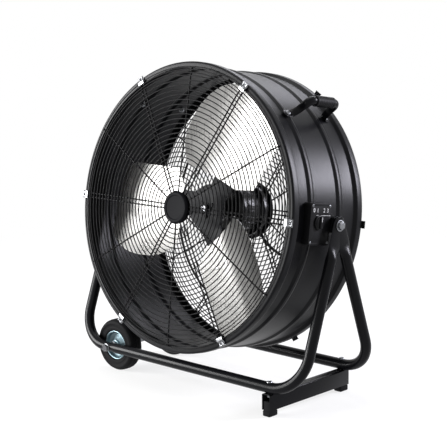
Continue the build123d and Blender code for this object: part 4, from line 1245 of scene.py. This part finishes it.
def make_camera():
    """The photo's camera, fitted to both rims, the legs, the foot and the wheel."""
    azimuth, elevation, roll = math.radians(43.3), math.radians(9.82), math.radians(-0.55)
    target, distance = Vector((0.0129, 0.005, 0.3858)), 3.119
    turn = Matrix.Rotation(azimuth, 4, "Z") @ Matrix.Rotation(math.pi / 2 - elevation, 4, "X")
    turn = turn @ Matrix.Rotation(roll, 4, "Z")
    data = bpy.data.cameras.new("camera")
    data.lens, data.sensor_width = 106.38, 36.0
    camera = linked("camera", data)
    camera.matrix_world = Matrix.Translation(target) @ turn @ Matrix.Translation((0, 0, distance))
    bpy.context.scene.camera = camera


# The add-on


class FAN_OT_finishes(bpy.types.Operator):
    """Make all finishes and node trees"""

    bl_idname = "drumfan.finishes"
    bl_label = "Finishes"

    def execute(self, context):
        make_finishes(context.scene.drum_fan_colours)
        make_trees()
        return {"FINISHED"}


class FAN_OT_drum(bpy.types.Operator):
    """Make the rolled drum with its beads and collars"""

    bl_idname = "drumfan.drum"
    bl_label = "Drum"

    def execute(self, context):
        make_drum(context.scene.drum_fan_sizes)
        return {"FINISHED"}


class FAN_OT_guards(bpy.types.Operator):
    """Make both wire guards, the badge and the clips"""

    bl_idname = "drumfan.guards"
    bl_label = "Guards"

    def execute(self, context):
        sizes = context.scene.drum_fan_sizes
        make_guard(sizes, "front")
        make_guard(sizes, "rear")
        make_badge()
        make_clips("front", sizes.rim_radius)
        make_clips("rear", sizes.rear_rim_radius + 0.004)
        return {"FINISHED"}


class FAN_OT_handles(bpy.types.Operator):
    """Make the two carrying handles, their grips and their bolts"""

    bl_idname = "drumfan.handles"
    bl_label = "Handles"

    def execute(self, context):
        sizes = context.scene.drum_fan_sizes
        for name in HANDLES:
            make_handle(sizes, name)
        make_grips(sizes)
        make_handle_bolts(sizes)
        return {"FINISHED"}


class FAN_OT_pivots(bpy.types.Operator):
    """Make the pivot cups, bolts, washers and nuts"""

    bl_idname = "drumfan.pivots"
    bl_label = "Pivots"

    def execute(self, context):
        make_pivots()
        return {"FINISHED"}


class FAN_OT_controls(bpy.types.Operator):
    """Make the control box, its dial marks and the knob"""

    bl_idname = "drumfan.controls"
    bl_label = "Controls"

    def execute(self, context):
        make_control_box()
        make_knob()
        return {"FINISHED"}


class FAN_OT_motor(bpy.types.Operator):
    """Make the motor, its mount and its lead"""

    bl_idname = "drumfan.motor"
    bl_label = "Motor"

    def execute(self, context):
        make_motor()
        make_lead()
        return {"FINISHED"}


class FAN_OT_fan_wheel(bpy.types.Operator):
    """Make the blades, arms, rivets and hub fixings"""

    bl_idname = "drumfan.fan_wheel"
    bl_label = "Fan wheel"

    def execute(self, context):
        make_fan_wheel()
        return {"FINISHED"}


class FAN_OT_stand(bpy.types.Operator):
    """Make the bent tubes, the foot, the axle and the wheels"""

    bl_idname = "drumfan.stand"
    bl_label = "Stand"

    def execute(self, context):
        sizes = context.scene.drum_fan_sizes
        make_stand_tube(sizes, "front_stand_tube", -1)
        make_stand_tube(sizes, "rear_stand_tube", 1)
        make_foot()
        make_axle()
        make_wheel(-1)
        make_wheel(1)
        return {"FINISHED"}


class FAN_OT_inner(bpy.types.Operator):
    """Finish the inner parts that keep their own shape"""

    bl_idname = "drumfan.inner"
    bl_label = "Inner parts"

    def execute(self, context):
        finish_plain_nodes()
        return {"FINISHED"}


class FAN_OT_stage(bpy.types.Operator):
    """Make the floor, the light and the camera"""

    bl_idname = "drumfan.stage"
    bl_label = "Stage"

    def execute(self, context):
        make_world()
        make_floor()
        make_lamps()
        make_camera()
        return {"FINISHED"}


OPERATORS = (
    FAN_OT_finishes, FAN_OT_drum, FAN_OT_guards, FAN_OT_handles, FAN_OT_pivots, FAN_OT_controls,
    FAN_OT_motor, FAN_OT_fan_wheel, FAN_OT_stand, FAN_OT_inner, FAN_OT_stage,
)


class FAN_PT_panel(bpy.types.Panel):
    """Sizes, colours and steps of the drum fan"""

    bl_label = "Drum Fan"
    bl_idname = "FAN_PT_panel"
    bl_space_type = "VIEW_3D"
    bl_region_type = "UI"
    bl_category = "Drum Fan"

    def draw(self, context):
        for group in (context.scene.drum_fan_sizes, context.scene.drum_fan_colours):
            box = self.layout.box()
            for key in group.bl_rna.properties.keys():
                if key not in ("rna_type", "name"):
                    box.prop(group, key)
        for step in OPERATORS:
            self.layout.operator(step.bl_idname)


CLASSES = (DrumFanSizes, DrumFanColours, *OPERATORS, FAN_PT_panel)


def register():
    for cls in CLASSES:
        bpy.utils.register_class(cls)
    bpy.types.Scene.drum_fan_sizes = PointerProperty(type=DrumFanSizes)
    bpy.types.Scene.drum_fan_colours = PointerProperty(type=DrumFanColours)


def unregister():
    del bpy.types.Scene.drum_fan_colours
    del bpy.types.Scene.drum_fan_sizes
    for cls in reversed(CLASSES):
        bpy.utils.unregister_class(cls)


def main():
    register()
    for step in OPERATORS:
        group, name = step.bl_idname.split(".")
        getattr(getattr(bpy.ops, group), name)()
    bpy.context.view_layer.update()


if __name__ == "__main__":
    main()
